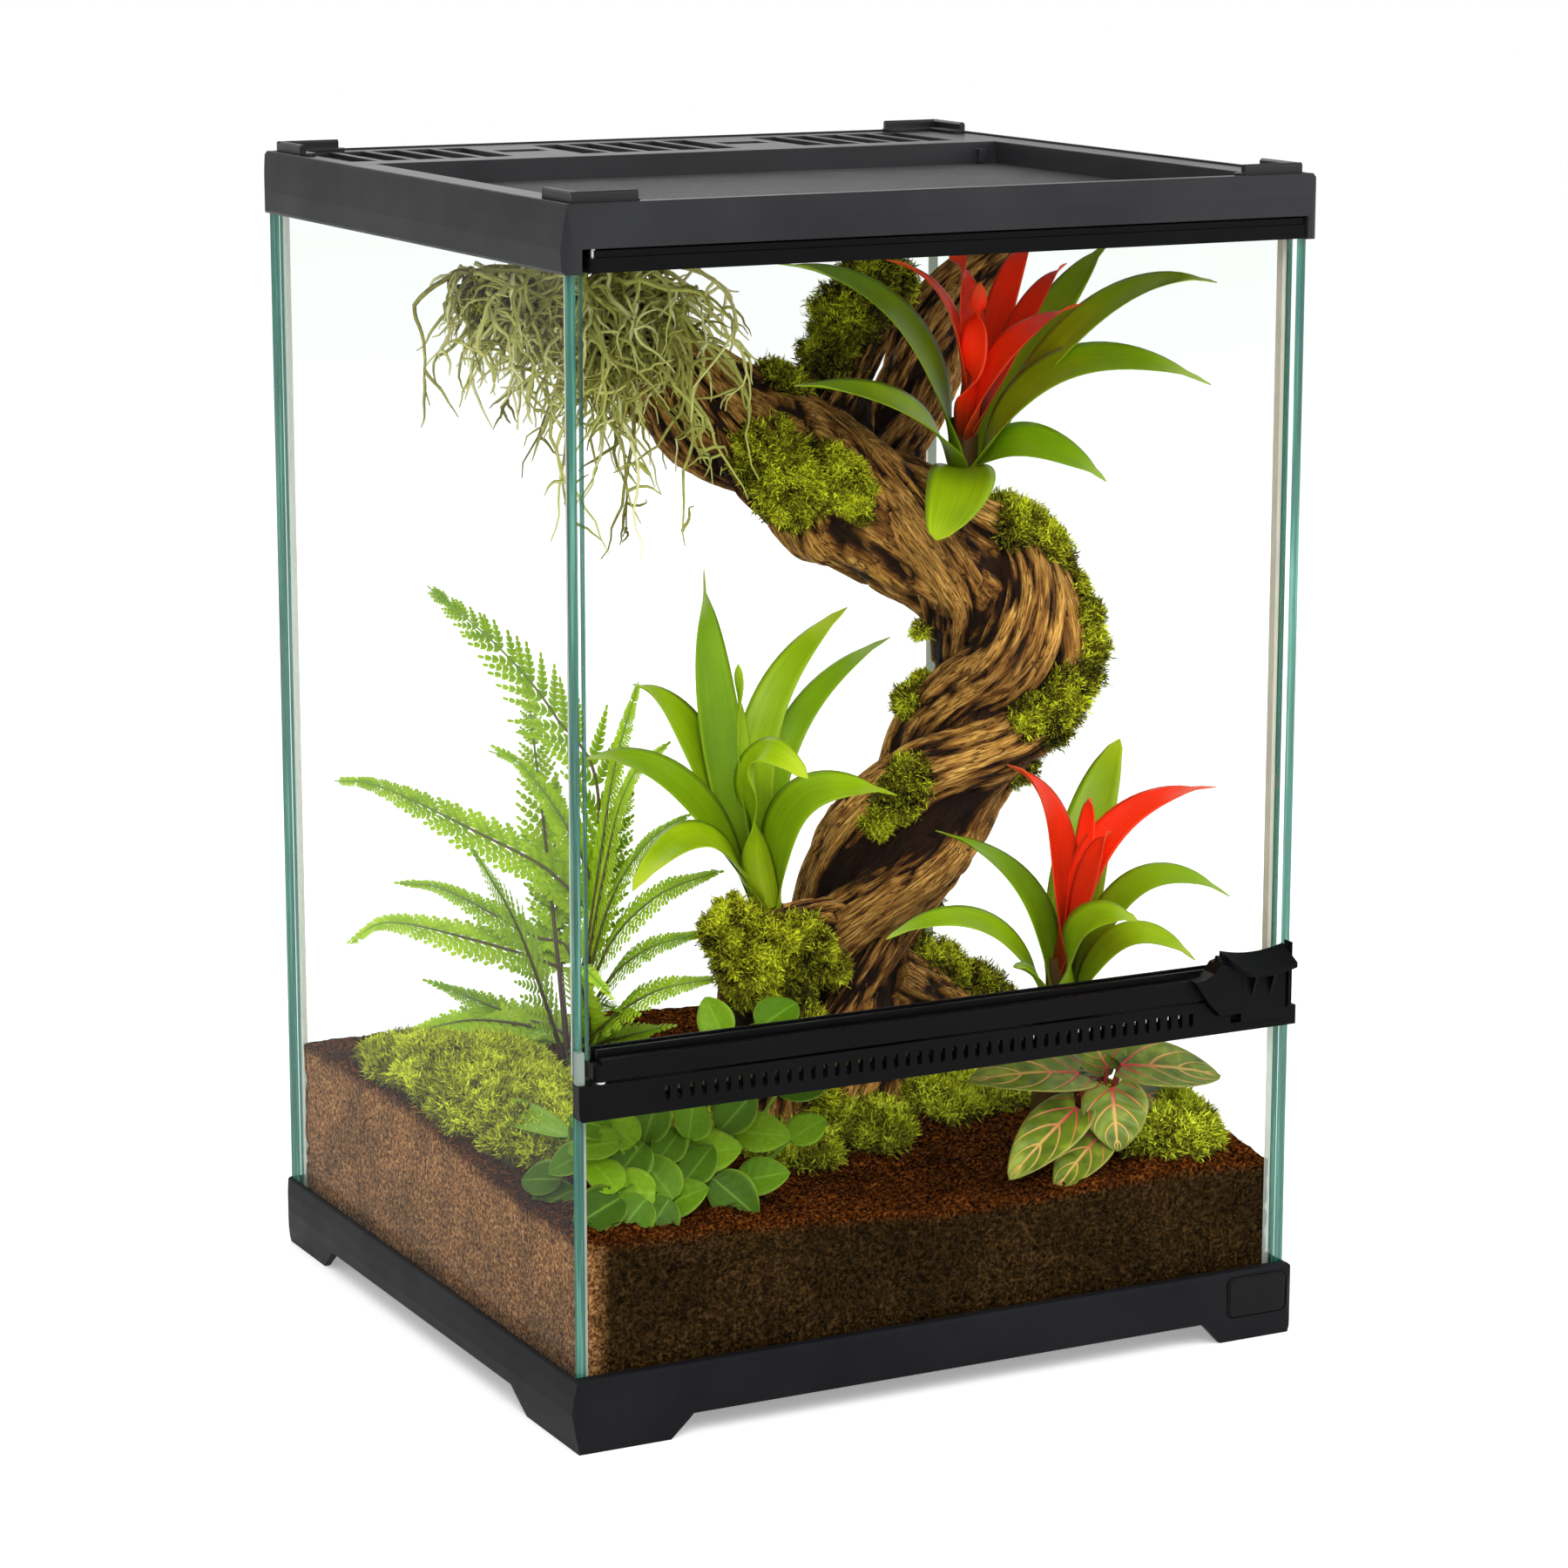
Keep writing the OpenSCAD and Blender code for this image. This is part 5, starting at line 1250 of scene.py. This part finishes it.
# %% Fern finishes
lobe = Finish("fern_lobe")
freshness = lobe.sum(lobe.value("along"), lobe.span(lobe.value("tone"), -0.25, 0.25))
lobe_tint = lobe.ramp(freshness, [(0.0, (0.2, 0.36, 0.004)), (0.45, (0.36, 0.56, 0.01)),
                                  (1.0, (0.52, 0.72, 0.06))])
lobe_tint = lobe.times(lobe_tint, lobe.noise(160, 3), [(0.3, (0.82, 0.86, 0.8)), (0.7, (1.15, 1.1, 1.1))])
lobe.surface(colour=lobe_tint, rough=0.5, shine=0.2, flesh=0.1, flesh_depth=FLESH_DEPTH)
fern.piece("fern_fronds", lobe, "fern_green", "fern")
wiry = Finish("fern_stalk")
wiry.surface(colour=wiry.ramp(wiry.value("along"), [(0.1, (0.045, 0.015, 0.006)), (0.6, (0.09, 0.07, 0.012)),
                                                    (1.0, (0.2, 0.36, 0.03))]),
             rough=wiry.span(wiry.noise(200, 2), 0.35, 0.55))
fern_stems.piece("fern_stalks", wiry, "fern_green")

# %% [markdown]
# ## Broad leaves
#
# The low plants have broad blades on thin stalks. One helper makes such a blade: a closed sheet
# whose outline swells and comes to a point, cupped along the middle rib and drooping to the tip.
# The small plant at the left has round, fleshy, bright leaves with a fine pale rim. The one at
# the right has heart-shaped olive leaves with yellow veins that turn crimson at the heart.


# %% Broad blade
def broad_blade(heap, root, ahead, up, length, width, droop, cup, tone, blunt=0.62, heart=0.0, steps=22,
                half_steps=9):
    """A closed blade from root along ahead; u runs across, t along."""
    ahead = unit(np.asarray(ahead, float))
    side = unit(np.cross(up, ahead))
    up = np.cross(ahead, side)
    t = np.linspace(0, 1, steps)[:, None]
    u, section = sheet_section(half_steps)
    from_rib = np.abs(u)
    outline = np.clip(np.sin(math.pi * (0.02 + 0.98 * t) ** blunt), 0, 1) ** 0.55
    outline = outline * (1 - 0.25 * t ** 6)
    half = width / 2 * outline
    back = -heart * length * (1 - t) ** 5 * from_rib ** 1.5
    quilt = 0.035 * width * np.sin(10 * math.pi * (t - 0.3 * from_rib)) * from_rib * (1 - from_rib) * 2
    lift = cup * half * from_rib ** 1.6 - droop * length * t ** 2 + 0.35 * section + quilt
    points = (np.asarray(root, float) + ahead * ((t * length + back)[..., None])
              + side * (half * u)[..., None] + up * lift[..., None])
    heap.add(points, ring_faces(steps, len(u)), tone=tone, along=np.repeat(t, len(u)),
             across=np.tile(u, steps))


def stalk(heap, a, b, sag, radius, tone):
    """A thin leaf stalk that bows from a to b."""
    middle = (np.array(a, float) + b) / 2 + (0, 0, sag)
    rows, _ = smooth_path([(*a, radius), (*middle, radius), (*b, radius)], 8)
    heap.add(tube(rows[:, :3], radius, 5), ring_faces(8, 5), along=-1.0, across=0.0, tone=tone)


trial = Heap()
broad_blade(trial, (0, 0, 0), (0, -1, 0), (0, 0, 1), 20, 16, 0.12, 0.22, 0.5)
print("points of one broad blade:", trial.count)

# %% Round-leaf plant
chance = np.random.default_rng(47)
ROUND = np.array((-98, -100, 72.0))
ROUND_LEAVES = [
    (-67, -81, 142), (-39, -80, 140), (-37, -96, 114), (-68, -102, 110), (-59, -106, 101),
    (-39, -105, 100), (-64, -116, 87), (-83, -110, 98), (-100, -109, 103), (-109, -116, 93),
    (-88, -103, 111), (-105, -103, 113), (-121, -106, 111), (-132, -109, 107), (-131, -115, 97),
    (-121, -114, 99), (-101, -121, 85), (-123, -119, 90), (-126, -126, 81), (-115, -126, 79),
    (-137, -124, 86), (-141, -80, 87), (-141, -88, 80), (-90, -113, 95), (-131, -104, 114),
    (-52, -92, 124), (-76, -92, 122), (-92, -92, 118), (-118, -92, 108), (-78, -120, 82), (-96, -84, 104),
    (-120, -76, 100), (-60, -84, 108), (-136, -96, 98),
]
round_leaves = Heap()
for i, middle in enumerate(ROUND_LEAVES):
    middle = np.array(middle, float)
    away = unit(middle - ROUND + (0, 0, 6)) + chance.normal(0, 0.35, 3) + (0, 0, -0.25)
    facing = unit(unit(TO_WINDOW) + (0, 0, 0.35) + chance.normal(0, 0.24, 3))
    heading = unit(away - facing * away.dot(facing))
    length = chance.uniform(17, 23)
    root = middle - heading * length * 0.48
    broad_blade(round_leaves, root, heading, facing, length, length * 0.82, 0.12, 0.22, chance.random(),
                blunt=0.8)
    stalk(round_leaves, ROUND + 0.12 * (middle - ROUND) * (1, 1, 0), root, -4, 0.75, 0.4)
strap_leaf(round_leaves, (-122, -62, 96), (-129, -10, 95), (-130, 40, 84), 15, 0.9)
fleshy = Finish("round_leaf")
from_rib = fleshy.size(fleshy.value("across"))
fleshy_tint = fleshy.ramp(fleshy.value("tone"), [(0, (0.035, 0.085, 0.0008)), (0.5, (0.085, 0.19, 0.0015)),
                                                 (1, (0.19, 0.34, 0.006))], "LINEAR")
fleshy_tint = fleshy.times(fleshy_tint, fleshy.noise(700, 3, 0.6), [
    (0.35, (0.85, 0.88, 0.85)), (0.62, (1.05, 1.04, 1.05)), (0.78, (1.7, 1.45, 2.2))])
fleshy_tint = fleshy.blend(fleshy.span(from_rib, 0, 0.55, 0.84, 0.98), fleshy_tint, (0.36, 0.54, 0.05))
fleshy_tint = fleshy.blend(fleshy.span(from_rib, 0.4, 0, 0.0, 0.09), fleshy_tint, (0.26, 0.46, 0.05))
fleshy.surface(colour=fleshy_tint, rough=0.42, shine=0.12,
               relief=fleshy.bump(fleshy.noise(500, 3), 0.0005, 0.5))
round_leaves.piece("round_leaves", fleshy, "round_leaf", "round_leaf_plant")

# %% Veined plant
VEINED = np.array((90, -106, 70.0))
VEINED_LEAVES = [
    ((79, -112, 109), (29, -122, 114), 25), ((100, -110, 109), (145, -114, 99), 25),
    ((91, -118, 103), (87, -130, 82), 27), ((76, -116, 96), (42, -128, 76), 23),
    ((96, -106, 107), (94, -94, 119), 20), ((103, -104, 108), (132, -88, 116), 21),
    ((96, -100, 102), (93, -80, 106), 20), ((103, -112, 100), (137, -106, 78), 20),
    ((86, -118, 84), (60, -132, 70), 20),
]
veined = Heap()
for i, (root, tip, width) in enumerate(VEINED_LEAVES):
    ahead = np.array(tip, float) - root
    facing = unit(unit(TO_WINDOW) * 0.8 + (0, 0, 0.75))
    length = np.linalg.norm(ahead) * 1.04
    broad_blade(veined, root, ahead + (0, 0, 0.12 * length), facing, length, width, 0.16, 0.2, (i * 0.39) % 1,
                blunt=0.66, heart=0.12, steps=30, half_steps=15)
    stalk(veined, VEINED - (0, 0, 4), root, 2, 1.0, 0.5)
olive = Finish("veined_leaf")
length_along, from_rib = olive.value("along"), olive.size(olive.value("across"))
body = olive.ramp(olive.noise(120, 4), [(0.3, (0.07, 0.11, 0.006)), (0.5, (0.14, 0.2, 0.008)),
                                        (0.7, (0.26, 0.32, 0.02))])
rib = olive.span(from_rib, 1, 0, 0.02, 0.09)
bow = olive.scaled(olive.sum(from_rib, 1.4, "POWER"), 0.5)
arch = olive.scaled(olive.sum(length_along, bow, "SUBTRACT"), 3.6)
saw = olive.sum(olive.sum(arch, 40.5), 1, "MODULO")
line = olive.span(olive.size(olive.sum(saw, 0.5, "SUBTRACT")), 1, 0, 0.02, 0.1)
veins = olive.sum(rib, olive.scaled(line, olive.span(from_rib, 1, 0, 0.7, 0.98)), "MAXIMUM")
crimson = olive.blend(olive.span(length_along, 1, 0, 0.1, 0.42), (0.72, 0.42, 0.1), (0.75, 0.03, 0.06))
olive_tint = olive.blend(veins, body, crimson)
olive_tint = olive.blend(olive.span(from_rib, 0, 0.8, 0.9, 1.0), olive_tint, (0.55, 0.45, 0.1))
olive_tint = olive.blend(olive.sum(length_along, -0.5, "LESS_THAN"), olive_tint, (0.45, 0.05, 0.035))
olive.surface(colour=olive_tint, rough=0.4, shine=0.35, relief=olive.bump(veins, 0.0006, 0.6))
veined.piece("veined_leaves", olive, "veined_leaf", "veined_leaf_plant")

# %% [markdown]
# ## Floor
#
# A plain pale floor, wide enough to catch the tank's soft shadow. It isn't part of the object.
# In the photograph it runs into a white background with no edge, so to the camera and in mirrors
# it is lifted a little: where the studio light falls freely it reaches white, and the contact
# shadow stays visible.

# %% Floor
FLOOR_REACH = 6.0
corners = [(x * FLOOR_REACH, y * FLOOR_REACH, 0) for x, y in ((-1, -1), (1, -1), (1, 1), (-1, 1))]
floor_mesh = bpy.data.meshes.new("floor")
floor_mesh.from_pydata(corners, [], [(0, 1, 2, 3)])
floor = bpy.data.objects.new("floor", floor_mesh)
bpy.context.scene.collection.objects.link(floor)
paper = Finish("floor_paper")
paper.surface(colour=paper.ramp(paper.noise(3, 2), [(0.3, (0.86, 0.86, 0.86)), (0.7, (0.88, 0.88, 0.88))]),
              rough=0.9, shine=0.0)
rays = paper.add("LightPath").outputs
seen_by = paper.sum(paper.sum(rays["Is Camera Ray"], rays["Is Glossy Ray"], "MAXIMUM"),
                    rays["Is Transmission Ray"], "MAXIMUM")
lift = paper.node("Emission", {"Color": WHITE, "Strength": paper.scaled(seen_by, 0.32)})
paper.feed(paper.out, paper.node("AddShader", {0: paper.shader.outputs[0], 1: lift}))
floor.data.materials.append(paper.material)
print("floor:", 2 * FLOOR_REACH, "m square")
